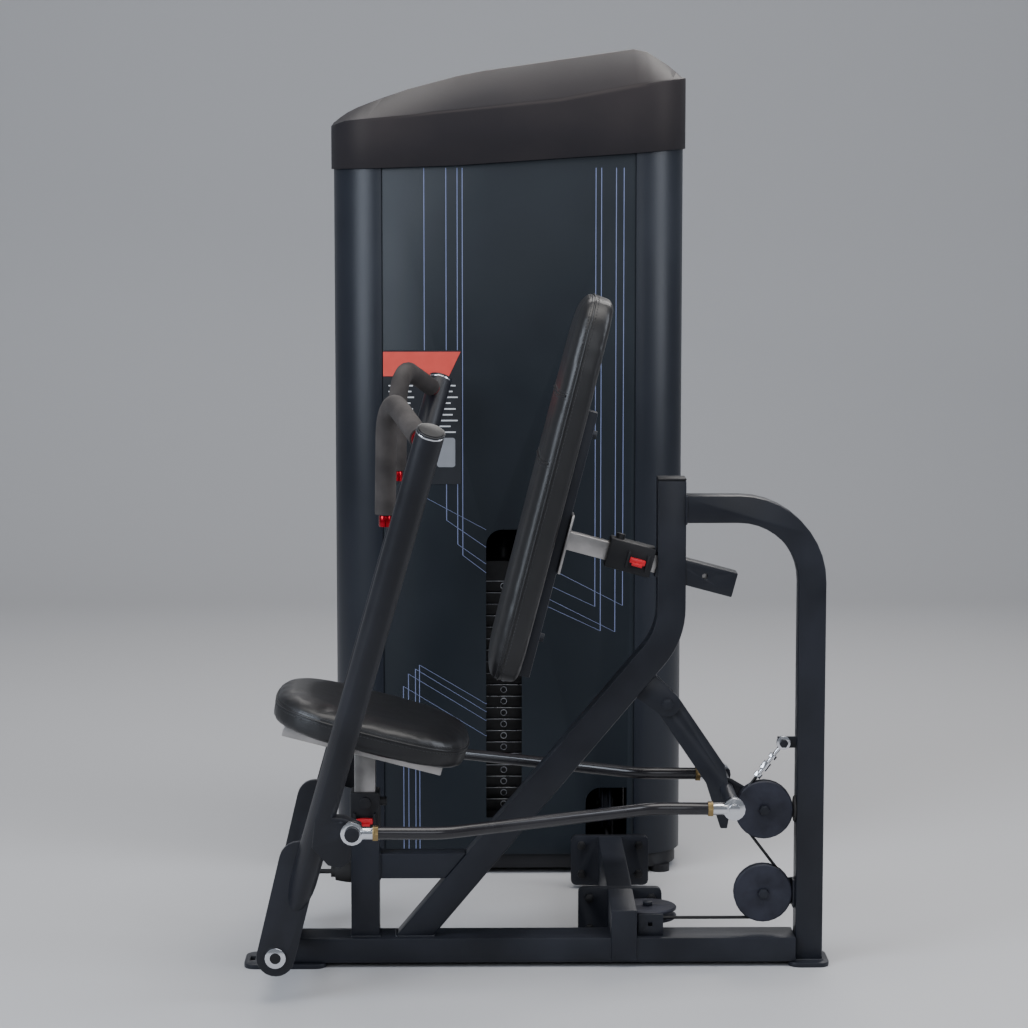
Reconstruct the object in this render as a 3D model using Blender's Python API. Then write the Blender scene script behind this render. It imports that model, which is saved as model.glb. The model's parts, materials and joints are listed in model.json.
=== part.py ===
"""Seated chest press with a shrouded weight stack.

Metres, +Z up. +X points to the rear of the machine, behind the user; +Y points to the weight tower,
on the user's right. It is drawn with its origin on the floor under the middle of the base rail, and moved at
the end so that the origin is on the floor under the middle of the whole machine.
"""

from math import acos, atan2, cos, degrees, pi, radians, sin, tan

import bmesh
import bpy
from mathutils import Matrix, Vector

GAP = 0.0003  # clearance between pieces that touch

# Base
TUBE = 0.050  # side of the square frame tube
FOOT_T = 0.008
RAIL_FRONT = -0.500
RAIL_HALF_W = 0.038
RAIL_Z = (FOOT_T + GAP, 0.053)

# Beam that ties the base to the tower
BEAM_X = (0.114, 0.160)
BEAM_Z = (0.012, 0.104)
FLANGE_X = (0.061, 0.213)
FLANGE_Z = (0.007, 0.105)
FLANGE_T = 0.008
JOINT_Y = 0.126  # plane where the base's flange meets the beam's
BEAM_END_Y = 0.548
BOLT_X = (0.081, 0.194)
BOLT_Z = (0.030, 0.087)

# Seat post, diagonal, upright and rear frame
POST_X = -0.3215
POST_TOP = 0.232
CROSS_Z = (0.157, 0.202)
DIAGONAL_DEG = 50.0
DIAGONAL_FOOT = (-0.2345, 0.053)
UPRIGHT_X = 0.2185
UPRIGHT_TOP = 0.866
UPRIGHT_BEND = 0.130
REAR_X = 0.4665
REAR_TOP_Z = 0.815
REAR_BEND = 0.130

# Press arms
PIVOT = Vector((-0.465, 0.0, 0.079))
AXLE_R = 0.014
PLATE_Y = (0.250, 0.262)  # inner and outer face of each side plate
PLATE_R = 0.0325
PLATE_TOP = Vector((-0.424, 0.0, 0.245))
ARM_R = 0.023
ARM_FOOT = Vector((-0.415, 0.262, 0.217))
ARM_HEAD = Vector((-0.193, 0.600, 1.004))
TIE_R = 0.014
TIE = Vector((-0.440, 0.0, 0.166))
GRIP_R = 0.0174
GRIP_Y = 0.360
GRIP_X = -0.269
GRIP_Z = (0.846, 1.026)

# Push rods and swing link
ROD_FRONT = Vector((-0.330, 0.0, 0.313))
ROD_FRONT_Y = 0.345
ROD_REAR_Y = 0.150
ROD_R = 0.011
LINK_PIVOT = Vector((0.213, 0.0, 0.468))
SHAFT = Vector((0.320, 0.0, 0.310))
SHAFT_R = 0.013
LINK_T = 0.014

# Pulleys and cable
PULLEY_R = 0.052
GROOVE_R = 0.046  # to the middle of the cable
PULLEY_T = 0.022
CABLE_R = 0.003
CABLE_Z = 0.080
FLOAT = Vector((0.386, 0.0, 0.277))
LOW = Vector((0.3855, 0.0, CABLE_Z + GROOVE_R))
SIDE = Vector((0.183, GROOVE_R, CABLE_Z))
ANCHOR = Vector((0.420, 0.0, 0.396))
STACK_X = -0.0695
STACK_Y = 0.800
TOP_Z = 1.310  # height of the upper tower pulleys

# Seat and back adjusters
SEAT_DEG = 14.5
SEAT_CENTRE = Vector((-0.308, 0.0, 0.437))
OUTLINE = 36  # points round each pad
SEAT_SIZE = (0.352, 0.340, 0.056)
SLIDE_DEG = 15.0
SLIDE_AT = Vector((0.2185, 0.0, 0.7105))
BACK_DEG = 14.4
BACK_CENTRE = Vector((0.0035, 0.0, 0.853))
BACK_SIZE = (0.270, 0.694, 0.056)

# Tower
TOWER_X = (-0.406, 0.287)
TOWER_Y = (0.660, 1.080)
CORNER_R = 0.097
SHELL_T = 0.004
PLINTH_Z = (0.012, 0.040)
SHELL_TOP = 1.455
SLOT_X = (-0.105, -0.034)  # window in front of the weights
SLOT_Z = (0.115, 0.697)
ARCH_X = (0.094, 0.176)  # where the cable enters
ARCH_Z = (0.064, 0.176)
COVER_LIP = 0.004
PLATES = 20
PLATE_PITCH = 0.0235
STACK_Z = 0.115
LIFTED = 5
GUIDE_X = 0.075  # from the stack's middle to each guide rod
PLATE_HALF = (0.105, 0.058)  # half the plates' length and depth


def material(name, colour, roughness, metallic=0.0):
    mat = bpy.data.materials.get(name)
    if mat is None:
        mat = bpy.data.materials.new(name)
        mat.use_nodes = True
        shader = mat.node_tree.nodes["Principled BSDF"]
        shader.inputs["Base Color"].default_value = (*colour, 1.0)
        shader.inputs["Roughness"].default_value = roughness
        shader.inputs["Metallic"].default_value = metallic
    return mat


def frame_paint():
    return material("frame_paint", (0.018, 0.021, 0.032), 0.55)


def shroud_paint():
    return material("shroud_paint", (0.020, 0.023, 0.034), 0.42)


def panel_paint():
    return material("panel_paint", (0.010, 0.016, 0.024), 0.50)


def cover_plastic():
    return material("cover_plastic", (0.020, 0.020, 0.024), 0.38)


def leatherette():
    return material("leatherette", (0.010, 0.010, 0.012), 0.45)


def rubber():
    return material("rubber", (0.030, 0.028, 0.028), 0.80)


def grip_rubber():
    return material("grip_rubber", (0.050, 0.045, 0.043), 0.75)


def red_anodised():
    return material("red_anodised", (0.45, 0.008, 0.020), 0.28, 0.8)


def red_plastic():
    return material("red_plastic", (0.50, 0.010, 0.018), 0.35)


def chrome():
    return material("chrome", (0.70, 0.71, 0.74), 0.12, 1.0)


def nickel():
    return material("nickel", (0.60, 0.58, 0.56), 0.28, 1.0)


def black_plastic():
    return material("black_plastic", (0.012, 0.013, 0.016), 0.45)


def rod_enamel():
    return material("rod_enamel", (0.016, 0.015, 0.018), 0.35)


def pulley_nylon():
    return material("pulley_nylon", (0.040, 0.044, 0.060), 0.50)


def cable_sheath():
    return material("cable_sheath", (0.008, 0.008, 0.009), 0.40)


def plate_iron():
    return material("plate_iron", (0.020, 0.020, 0.022), 0.60, 0.4)


def from_mesh(name, points, faces, mat, smooth=False):
    mesh = bpy.data.meshes.new(name)
    mesh.from_pydata([tuple(p) for p in points], [], faces)
    bm = bmesh.new()
    bm.from_mesh(mesh)
    bmesh.ops.recalc_face_normals(bm, faces=bm.faces)
    bm.to_mesh(mesh)
    bm.free()
    for polygon in mesh.polygons:
        polygon.use_smooth = smooth
    obj = bpy.data.objects.new(name, mesh)
    bpy.context.scene.collection.objects.link(obj)
    obj.data.materials.append(mat())
    return obj


def bake(obj):
    """Makes the object's modifiers part of its mesh."""
    graph = bpy.context.evaluated_depsgraph_get()
    mesh = bpy.data.meshes.new_from_object(obj.evaluated_get(graph))
    obj.modifiers.clear()
    obj.data = mesh


def softened(obj, width, segments=2):
    """Rounds the object's sharp edges."""
    bevel = obj.modifiers.new("edges", "BEVEL")
    bevel.width = width
    bevel.segments = segments
    bevel.limit_method = "ANGLE"
    bevel.angle_limit = radians(50)
    bevel.use_clamp_overlap = True
    bake(obj)
    return obj


def combine(obj, others, operation):
    for other in others:
        boolean = obj.modifiers.new(operation, "BOOLEAN")
        boolean.operation = operation
        boolean.solver = "EXACT"
        boolean.object = other
        other.hide_render = True
        other.display_type = "WIRE"
        bake(obj)
        bpy.data.objects.remove(other)
    return obj


def cut(obj, *others):
    return combine(obj, others, "DIFFERENCE")


def join(obj, *others):
    return combine(obj, others, "UNION")


def turned_to(obj, matrix):
    obj.data.transform(matrix)
    return obj


def block(name, low, high, mat=None, edge=0.0):
    """A box between two corners."""
    xs, ys, zs = zip(low, high)
    points = [(x, y, z) for x in xs for y in ys for z in zs]
    faces = [(0, 1, 3, 2), (4, 6, 7, 5), (0, 4, 5, 1), (2, 3, 7, 6), (0, 2, 6, 4), (1, 5, 7, 3)]
    obj = from_mesh(name, points, faces, mat or frame_paint)
    return softened(obj, edge) if edge else obj


def ring_solid(name, rings, mat, smooth=True):
    """Joins rings of equal length into a closed solid, with a flat cap at each end."""
    count = len(rings[0])
    points = [p for ring in rings for p in ring]
    faces = [tuple(range(count)), tuple(range(len(points) - count, len(points)))]
    for i in range(len(rings) - 1):
        for j in range(count):
            k = (j + 1) % count
            faces.append((i * count + j, i * count + k, (i + 1) * count + k, (i + 1) * count + j))
    obj = from_mesh(name, points, faces, mat, smooth)
    if smooth:
        for polygon in obj.data.polygons[:2]:
            polygon.use_smooth = False
    return obj


def prism(name, outline, axis, low, high, mat=None, edge=0.0):
    """A flat outline drawn out along an axis. The outline is in the other two axes, in X, Y, Z order."""
    def at(point, depth):
        values = list(point)
        values.insert("XYZ".index(axis), depth)
        return values

    rings = [[at(p, depth) for p in outline] for depth in (low, high)]
    obj = ring_solid(name, rings, mat or frame_paint, smooth=False)
    return softened(obj, edge) if edge else obj


def circle(radius, segments, square=False):
    if square:
        return [(-radius, -radius), (radius, -radius), (radius, radius), (-radius, radius)]
    return [
        (radius * cos(2 * pi * i / segments), radius * sin(2 * pi * i / segments)) for i in range(segments)
    ]


def basis(direction):
    """Two directions across this one, the first level where it can be."""
    direction = Vector(direction).normalized()
    side = direction.cross(Vector((0, 0, 1)))
    if side.length < 1e-3:
        side = Vector((0, 1, 0))
    side.normalize()
    return side, side.cross(direction).normalized()


def rod(name, start, end, radius, mat=None, segments=16):
    start, end = Vector(start), Vector(end)
    side, up = basis(end - start)
    section = circle(radius, segments)
    rings = [[point + side * a + up * b for a, b in section] for point in (start, end)]
    return ring_solid(name, rings, mat or frame_paint)


def turned(name, centre, axis, profile, mat, segments=20):
    """A turned solid: profile holds (distance along the axis, radius) from one end to the other."""
    axis = Vector(axis).normalized()
    side, up = basis(axis)
    rings = [
        [Vector(centre) + axis * t + side * a + up * b for a, b in circle(r, segments)]
        for t, r in profile
    ]
    return ring_solid(name, rings, mat, smooth=True)


def rounded(path, radius, steps=6):
    """The path with each inner corner replaced by an arc."""
    path = [Vector(p) for p in path]
    radii = radius if isinstance(radius, (list, tuple)) else [radius] * (len(path) - 2)
    out = [path[0]]
    for i, r in zip(range(1, len(path) - 1), radii):
        before = (path[i - 1] - path[i]).normalized()
        after = (path[i + 1] - path[i]).normalized()
        turn = pi - before.angle(after)
        reach = r * tan(turn / 2)
        centre = path[i] + (before + after).normalized() * (r / cos(turn / 2))
        first = path[i] + before * reach - centre
        normal = first.cross(path[i] + after * reach - centre).normalized()
        out += [centre + Matrix.Rotation(turn * k / steps, 3, normal) @ first for k in range(steps + 1)]
    return out + [path[-1]]


def swept(name, path, section, mat, smooth=True, side=None):
    """A section carried along a path without twisting."""
    path = [Vector(p) for p in path]
    direction = (path[1] - path[0]).normalized()
    side = Vector(side).normalized() if side else basis(direction)[0]
    rings = []
    for i, point in enumerate(path):
        before = (path[i] - path[i - 1]).normalized() if i else direction
        after = (path[i + 1] - path[i]).normalized() if i < len(path) - 1 else before
        along = (before + after).normalized()
        side = (side - along * side.dot(along)).normalized()
        up = along.cross(side)
        stretch = 1 / max(0.5, along.dot(after))
        bend = after - before
        ring = []
        for a, b in section:
            offset = side * a + up * b
            if bend.length > 1e-6:
                outward = bend.normalized()
                offset = offset + outward * offset.dot(outward) * (stretch - 1)
            ring.append(point + offset)
        rings.append(ring)
    return ring_solid(name, rings, mat, smooth)


def bolt(name, at, axis, radius=0.0085, height=0.008):
    """A hexagon head standing on a face, with its tail just inside it."""
    axis = Vector(axis)
    return rod(name, Vector(at) - axis * 0.002, Vector(at) + axis * height, radius, segments=6)


def slotted_plate(name, x0, x1, half_w, z0, z1, radius, mat=None):
    """A flat foot with rounded corners."""
    corners = [(x1 - radius, half_w - radius, 0), (x0 + radius, half_w - radius, 90)]
    corners += [(x0 + radius, radius - half_w, 180), (x1 - radius, radius - half_w, 270)]
    outline = [
        (cx + radius * cos(radians(start + 15 * k)), cy + radius * sin(radians(start + 15 * k)))
        for cx, cy, start in corners
        for k in range(7)
    ]
    return prism(name, outline, "Z", z0, z1, mat)


def on_y(vector, y):
    return Vector((vector.x, y, vector.z))


# ---- base ----


def feet():
    front = slotted_plate("front_foot", -0.537, -0.390, 0.047, 0.0, FOOT_T, 0.022)
    cut(front, block("slot", (-0.528, -0.015, -0.01), (-0.519, 0.015, 0.02)))
    slotted_plate("rear_foot", 0.430, 0.502, 0.047, 0.0, FOOT_T, 0.020)


def flange(name, y):
    """A bolting plate, rounded at its corners, from y on by its thickness."""
    (x0, x1), (z0, z1), r = FLANGE_X, FLANGE_Z, 0.010
    corners = [(x1 - r, z1 - r, 0), (x0 + r, z1 - r, 90), (x0 + r, z0 + r, 180), (x1 - r, z0 + r, 270)]
    outline = [
        (x + r * cos(radians(a + 30 * k)), z + r * sin(radians(a + 30 * k)))
        for x, z, a in corners
        for k in range(4)
    ]
    return prism(name, outline, "Y", y, y + FLANGE_T)


def flange_bolts(y):
    return [bolt("bolt", (x, y, z), (0, -1, 0)) for x in BOLT_X for z in BOLT_Z]


def cable_channel(y0, y1):
    x, z = SIDE.x - GROOVE_R, CABLE_Z
    return block("channel", (x - 0.007, y0, z - 0.007), (x + 0.007, y1, z + 0.007))


def base_rail():
    """The floor rail, with the pivot tube of the arms across its front and the beam's stub through it."""
    face = JOINT_Y - GAP / 2
    end = REAR_X - 0.024 - GAP
    rail = block(
        "base_rail", (RAIL_FRONT, -RAIL_HALF_W, RAIL_Z[0]), (end, RAIL_HALF_W, RAIL_Z[1]), edge=0.003
    )
    saddle = block("saddle", (-0.490, -0.034, 0.045), (-0.440, 0.034, PIVOT.z), edge=0.002)
    tube = rod("tube", on_y(PIVOT, -0.2485), on_y(PIVOT, 0.2485), 0.021, segments=20)
    stub = block("stub", (BEAM_X[0], -0.043, BEAM_Z[0]), (BEAM_X[1], face - 0.002, BEAM_Z[1]), edge=0.003)
    join(rail, saddle, tube, stub, flange("plate", face - FLANGE_T), *flange_bolts(face - FLANGE_T))
    window = block("window", (SIDE.x - 0.056, -0.011, CABLE_Z - 0.0135), (0.175, 0.103, CABLE_Z + 0.0135))
    bore = rod("bore", on_y(PIVOT, -0.3), on_y(PIVOT, 0.3), AXLE_R + 0.0003)
    cut(rail, window, bore, cable_channel(0.05, 0.2))


def connector_beam():
    near = JOINT_Y + GAP / 2
    beam = block(
        "connector_beam", (BEAM_X[0], near + 0.002, BEAM_Z[0]), (BEAM_X[1], BEAM_END_Y - 0.002, BEAM_Z[1])
    )
    softened(beam, 0.003)
    join(
        beam, flange("near", near), flange("far", BEAM_END_Y - FLANGE_T), *flange_bolts(BEAM_END_Y - FLANGE_T)
    )
    cut(beam, cable_channel(0.0, 0.7))


def arm_axle():
    half, head = PLATE_Y[1] + GAP, 0.005
    profile = [
        (-half - head, 0.018),
        (-half, 0.018),
        (-half, AXLE_R),
        (half, AXLE_R),
        (half, 0.018),
        (half + head, 0.018),
    ]
    turned("arm_axle", PIVOT, (0, 1, 0), profile, chrome, 20)


# ---- frame ----


def seat_post():
    half = TUBE / 2
    low, high = RAIL_Z[1] + GAP, POST_TOP
    post = block("seat_post", (POST_X - half, -half, low), (POST_X + half, half, high), edge=0.002)
    cut(post, block("inside", (POST_X - 0.0195, -0.0195, 0.100), (POST_X + 0.0195, 0.0195, 0.300)))


def diagonal_at(z, offset=0.0):
    """X of the diagonal's centreline at this height, or of its face when offset is half a tube."""
    slope = radians(DIAGONAL_DEG)
    return DIAGONAL_FOOT[0] + (z - DIAGONAL_FOOT[1]) / tan(slope) + offset / sin(slope)


def seat_cross_tube():
    left = POST_X + TUBE / 2 + GAP
    low, high = CROSS_Z
    ends = [diagonal_at(z, -TUBE / 2) - 0.0006 for z in (low, high)]
    outline = [(left, low), (ends[0], low), (ends[1], high), (left, high)]
    prism("seat_cross_tube", outline, "Y", -0.021, 0.021, edge=0.002)


def slide_frame():
    """Places a piece drawn along +X on the back pad's slide line."""
    return Matrix.Translation(SLIDE_AT) @ Matrix.Rotation(radians(SLIDE_DEG), 4, "Y")


def backrest_upright():
    knee = DIAGONAL_FOOT[1] + (UPRIGHT_X - DIAGONAL_FOOT[0]) * tan(radians(DIAGONAL_DEG))
    path = [(diagonal_at(0.0), 0, 0), (UPRIGHT_X, 0, knee), (UPRIGHT_X, 0, UPRIGHT_TOP)]
    section = circle(TUBE / 2, 4, square=True)
    upright = swept(
        "backrest_upright", rounded(path, UPRIGHT_BEND, 8), section, frame_paint, False, (0, 1, 0)
    )
    softened(upright, 0.003)
    hole = turned_to(block("hole", (-0.1, -0.0224, -0.0224), (0.1, 0.0224, 0.0224)), slide_frame())
    cut(upright, block("floor", (-0.5, -0.1, -0.1), (0.1, 0.1, RAIL_Z[1] + GAP)), hole)


def rear_frame():
    """The top tube, bent down into the rear vertical, with the lug that the cable is anchored to."""
    start = UPRIGHT_X + TUBE / 2 + GAP
    path = [(start, 0, REAR_TOP_Z), (REAR_X, 0, REAR_TOP_Z), (REAR_X, 0, FOOT_T + GAP)]
    section = [(a * 0.025, b * 0.024) for a, b in circle(1.0, 4, square=True)]
    frame = swept("rear_frame", rounded(path, REAR_BEND, 10), section, frame_paint, False, (0, 1, 0))
    softened(frame, 0.003)
    lug = block(
        "lug", (ANCHOR.x - 0.010, 0.0045, ANCHOR.z - 0.010), (REAR_X - 0.020, 0.0105, ANCHOR.z + 0.010)
    )
    pin = rod("pin", on_y(ANCHOR, 0.006), on_y(ANCHOR, -0.0105), 0.0045, segments=16)
    head = rod("head", on_y(ANCHOR, -0.0045), on_y(ANCHOR, -0.0105), 0.0080, segments=6)
    join(frame, lug, pin, head)


def bumper():
    face = REAR_X - 0.024 - GAP
    turned("bumper", (face, 0, FLOAT.z), (-1, 0, 0), [(0, 0.024), (0.0020, 0.024), (0.0034, 0.022)], rubber)


def link_bracket():
    """A U-shaped bracket under the diagonal, with the swing link's bolt across it."""
    slope = radians(DIAGONAL_DEG)
    across = Vector((sin(slope), 0, -cos(slope)))
    along = Vector((cos(slope), 0, sin(slope)))
    foot = Vector((diagonal_at(LINK_PIVOT.z), 0, LINK_PIVOT.z))
    reach = (LINK_PIVOT - foot).dot(across) - TUBE / 2 - 0.0004  # from the tube's face to the pivot
    radius = 0.0225
    outline = [LINK_PIVOT - across * reach - along * 0.026, LINK_PIVOT - across * reach + along * 0.026]
    start = atan2(along.z, along.x)
    outline += [
        LINK_PIVOT + Vector((cos(start - pi * k / 8), 0, sin(start - pi * k / 8))) * radius for k in range(9)
    ]
    flat = [(p.x, p.z) for p in outline]
    bracket = prism("link_bracket", flat, "Y", -0.0135, -0.0090)
    base = [
        LINK_PIVOT - across * (reach - t) + along * s
        for t, s in ((0, -0.026), (0, 0.026), (0.005, 0.026), (0.005, -0.026))
    ]
    web = prism("web", [(p.x, p.z) for p in base], "Y", -0.0130, 0.0130)
    pin = rod("pin", on_y(LINK_PIVOT, -0.0130), on_y(LINK_PIVOT, 0.0130), 0.0070)
    heads = [
        rod("head", on_y(LINK_PIVOT, s * 0.0130), on_y(LINK_PIVOT, s * 0.0200), 0.0105, segments=6)
        for s in (-1, 1)
    ]
    join(bracket, prism("cheek", flat, "Y", 0.0090, 0.0135), web, pin, *heads)


def arm_stop():
    """The stop that the arms rest on: a rubber-faced cylinder with a screwed rod."""
    face = POST_X - TUBE / 2 - GAP
    tip = TIE.x + TIE_R + 0.0006
    profile = [
        (0, 0.0205), (0.016, 0.0185), (0.028, 0.0160), (0.029, 0.0105), (0.036, 0.0105), (0.0365, 0.0042)
    ]
    turned("arm_stop", (face, 0, TIE.z), (-1, 0, 0), profile + [(face - tip, 0.0042)], black_plastic, 16)


# ---- press arms ----


def stadium(a, b, ra, rb, steps=8):
    """The outline, in X and Z, round two circles."""
    start = atan2(b.z - a.z, b.x - a.x)
    ends = [(b, rb, start - pi / 2), (a, ra, start + pi / 2)]
    return [
        (c.x + r * cos(first + pi * k / steps), c.z + r * sin(first + pi * k / steps))
        for c, r, first in ends
        for k in range(steps + 1)
    ]


def arm_yoke():
    """Both side plates and the tie between them, which the stop meets."""
    outline = stadium(PIVOT, PLATE_TOP, PLATE_R, 0.034, 12)
    yoke = prism("arm_yoke", outline, "Y", -PLATE_Y[1], -PLATE_Y[0])
    join(yoke, prism("other", outline, "Y", PLATE_Y[0], PLATE_Y[1]))
    join(yoke, rod("tie", on_y(TIE, -PLATE_Y[0] - 0.004), on_y(TIE, PLATE_Y[0] + 0.004), TIE_R))
    cut(yoke, rod("bore", on_y(PIVOT, -0.3), on_y(PIVOT, 0.3), AXLE_R + 0.0003))


def mirrored(point, side):
    """Side -1 is the user's left, 1 their right."""
    return Vector((point[0], side * point[1], point[2]))


def arm(name, side):
    """The raking tube, mitred onto its side plate, and the lug that the push rod is bolted to."""
    foot, head = mirrored(ARM_FOOT, side), mirrored(ARM_HEAD, side)
    down = (foot - head).normalized()
    tube = rod(name, foot + down * 0.13, head, ARM_R, segments=24)
    face = PLATE_Y[1] + GAP
    cut(
        tube,
        block("plate", (-0.7, side * face if side < 0 else -0.5, 0), (0.2, 0.5 if side < 0 else face, 0.6)),
    )
    lug = [
        (-0.392, 0.338), (-0.345, 0.335), (-0.316, 0.322), (-0.316, 0.297), (-0.333, 0.287), (-0.333, 0.262)
    ]
    lug += [(-0.352, 0.250), (-0.371, 0.255), (-0.398, 0.285)]
    ys = sorted((side * 0.300, side * (ROD_FRONT_Y - 0.0120)))
    join(tube, prism("lug", lug, "Y", *ys, edge=0.002))
    pin = rod(
        "pin",
        on_y(ROD_FRONT, side * 0.33),
        on_y(ROD_FRONT, side * (ROD_FRONT_Y + 0.011)),
        0.0075,
        segments=16,
    )
    nut = rod(
        "nut",
        on_y(ROD_FRONT, side * (ROD_FRONT_Y + 0.0105)),
        on_y(ROD_FRONT, side * (ROD_FRONT_Y + 0.018)),
        0.0125,
    )
    join(tube, pin, nut)


def handle(name, side):
    """The bent grip, from the arm's inner side up and down to its cap, with the red collar and cap."""
    root = mirrored((-0.2005, 0.5885, 0.978), side)
    bend = mirrored((GRIP_X, GRIP_Y, GRIP_Z[1] + 0.020), side)
    end = mirrored((GRIP_X - 0.003, GRIP_Y, GRIP_Z[0]), side)
    out = (bend - root).normalized()
    collar = root + out * 0.0300, root + out * 0.0390
    rod(name + "_collar", *collar, 0.0150, red_anodised)
    path = rounded([collar[1] + out * GAP, bend, end], 0.055, 10)
    swept(name + "_grip", path, circle(GRIP_R, 16), grip_rubber)
    along = (end - bend).normalized()
    rod(name + "_cap", end + along * GAP, end + along * 0.020, 0.0105, red_anodised)


# ---- push rods and swing link ----


def push_rod(name, side):
    """A cranked rod with an eye at each end. The front eye turns on the arm's pin."""
    front, rear = on_y(ROD_FRONT, side * ROD_FRONT_Y), on_y(SHAFT, side * ROD_REAR_Y)
    path = [front + Vector((0.0145, 0, 0)), front + Vector((0.150, 0, -0.0007))]
    path += [rear + Vector((-0.142, 0, 0.0007)), rear - Vector((0.012, 0, 0))]
    piece = swept(name, rounded(path, 0.10, 4), circle(ROD_R, 12), rod_enamel)
    collars = [(front, 0.034), (rear, -0.036)]
    for eye, step in collars:
        at = eye + Vector((step, 0, 0))
        join(piece, rod("nut", at, at + Vector((0.009 if step > 0 else -0.009, 0, 0)), 0.0135, segments=6))
        join(piece, rod("eye", eye - Vector((0, 0.008, 0)), eye + Vector((0, 0.008, 0)), 0.0195))
    bolt_end = side * (abs(rear.y) - 0.0105)
    join(piece, rod("bolt", on_y(rear, bolt_end), on_y(rear, rear.y + side * 0.016), 0.0095, segments=16))
    cut(piece, rod("bore", front - Vector((0, 0.03, 0)), front + Vector((0, 0.03, 0)), 0.0080, segments=16))


def swing_link():
    """The plate that both rods pull, with their cross shaft welded through it."""
    down = (SHAFT - LINK_PIVOT).normalized()
    right = Vector((-down.z, 0, down.x))
    half = 0.0225
    start = atan2(right.z, right.x)
    outline = [
        LINK_PIVOT + Vector((cos(start + pi * k / 8), 0, sin(start + pi * k / 8))) * half for k in range(9)
    ]
    outline += [
        LINK_PIVOT - right * half + down * 0.158, Vector((0.309, 0, 0.243)), Vector((0.321, 0, 0.243))
    ]
    outline += [Vector((0.3285, 0, 0.290)), LINK_PIVOT + right * half + down * 0.150]
    link = prism("swing_link", [(p.x, p.z) for p in outline], "Y", -LINK_T / 2, LINK_T / 2, edge=0.0015)
    cut(link, rod("bore", on_y(LINK_PIVOT, -0.05), on_y(LINK_PIVOT, 0.05), 0.0073))
    end = ROD_REAR_Y - 0.0115
    join(link, rod("shaft", on_y(SHAFT, -end), on_y(SHAFT, end), SHAFT_R))


def pulley(name, centre, axis):
    """A grooved pulley, bored for its bolt."""
    half, rim, floor = PULLEY_T / 2, PULLEY_R, GROOVE_R - CABLE_R - 0.0005
    profile = [(-half, rim - 0.002), (-half + 0.002, rim), (-0.0055, rim), (-0.0038, floor)]
    profile += [(0.0038, floor), (0.0055, rim), (half - 0.002, rim), (half, rim - 0.002)]
    wheel = turned(name, centre, axis, profile, pulley_nylon, 28)
    axis = Vector(axis)
    cut(wheel, rod("bore", centre - axis * 0.05, centre + axis * 0.05, 0.0063, segments=16))


def pulley_axle(centre, axis, back):
    """The bolt of a pulley carried on one side, from its plate to the head on the open side."""
    axis = Vector(axis)
    shank = rod("shank", centre + axis * back, centre - axis * 0.0125, 0.0060, segments=16)
    return join(shank, rod("head", centre - axis * 0.0116, centre - axis * 0.0175, 0.0095, segments=6))


def float_yoke():
    """The cheek that carries the travelling pulley from the cross shaft."""
    back = 0.0120
    cheek = prism("float_yoke", stadium(SHAFT, FLOAT, 0.021, 0.016), "Y", back, back + 0.004)
    join(cheek, pulley_axle(FLOAT, (0, 1, 0), back + 0.002))
    cut(cheek, rod("bore", on_y(SHAFT, -0.05), on_y(SHAFT, 0.05), SHAFT_R + GAP))


def low_pulley_bracket():
    back, face = 0.0120, REAR_X - 0.024 - GAP
    outline = [
        (LOW.x - 0.016, LOW.z - 0.016),
        (face, LOW.z - 0.026),
        (face, LOW.z + 0.024),
        (LOW.x - 0.016, LOW.z + 0.016),
    ]
    cheek = prism("low_pulley_bracket", outline, "Y", back, back + 0.004)
    pad = block("pad", (face - 0.004, -0.012, LOW.z - 0.026), (face, back + 0.002, LOW.z + 0.024))
    join(cheek, pulley_axle(LOW, (0, 1, 0), back + 0.002), pad)


def side_pulley_bracket():
    """The angle on the rail that carries the flat pulley, with a square hole in its front."""
    floor = RAIL_Z[1] + GAP
    base = block("side_pulley_bracket", (0.163, -0.024, floor), (0.207, 0.066, floor + 0.004))
    front = block("front", (0.163, -0.024, floor), (0.207, -0.020, 0.092))
    post = rod(
        "post", (SIDE.x, SIDE.y, floor + 0.002), (SIDE.x, SIDE.y, CABLE_Z - 0.0114), 0.009, segments=16
    )
    shank = rod(
        "shank", (SIDE.x, SIDE.y, floor + 0.002), (SIDE.x, SIDE.y, CABLE_Z + 0.012), 0.006, segments=16
    )
    head = rod(
        "head", (SIDE.x, SIDE.y, CABLE_Z + 0.0116), (SIDE.x, SIDE.y, CABLE_Z + 0.018), 0.0095, segments=6
    )
    join(base, front, post, shank, head)
    cut(base, block("hole", (0.180, -0.03, 0.070), (0.188, -0.01, 0.078)))


# ---- cable ----


def polar(centre, degrees, radius=GROOVE_R):
    return centre + Vector((cos(radians(degrees)), 0, sin(radians(degrees)))) * radius


def anchor_tangent():
    """The angle, round the travelling pulley, where the cable from the anchor meets it."""
    way = ANCHOR - FLOAT
    return degrees(atan2(way.z, way.x)) + degrees(acos(GROOVE_R / way.length))


def drop_tangent():
    """The angle where the cable leaves the travelling pulley for the right-hand side of the low one."""
    way = LOW - FLOAT
    return degrees(atan2(way.z, way.x)) - degrees(acos(2 * GROOVE_R / way.length))


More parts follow.
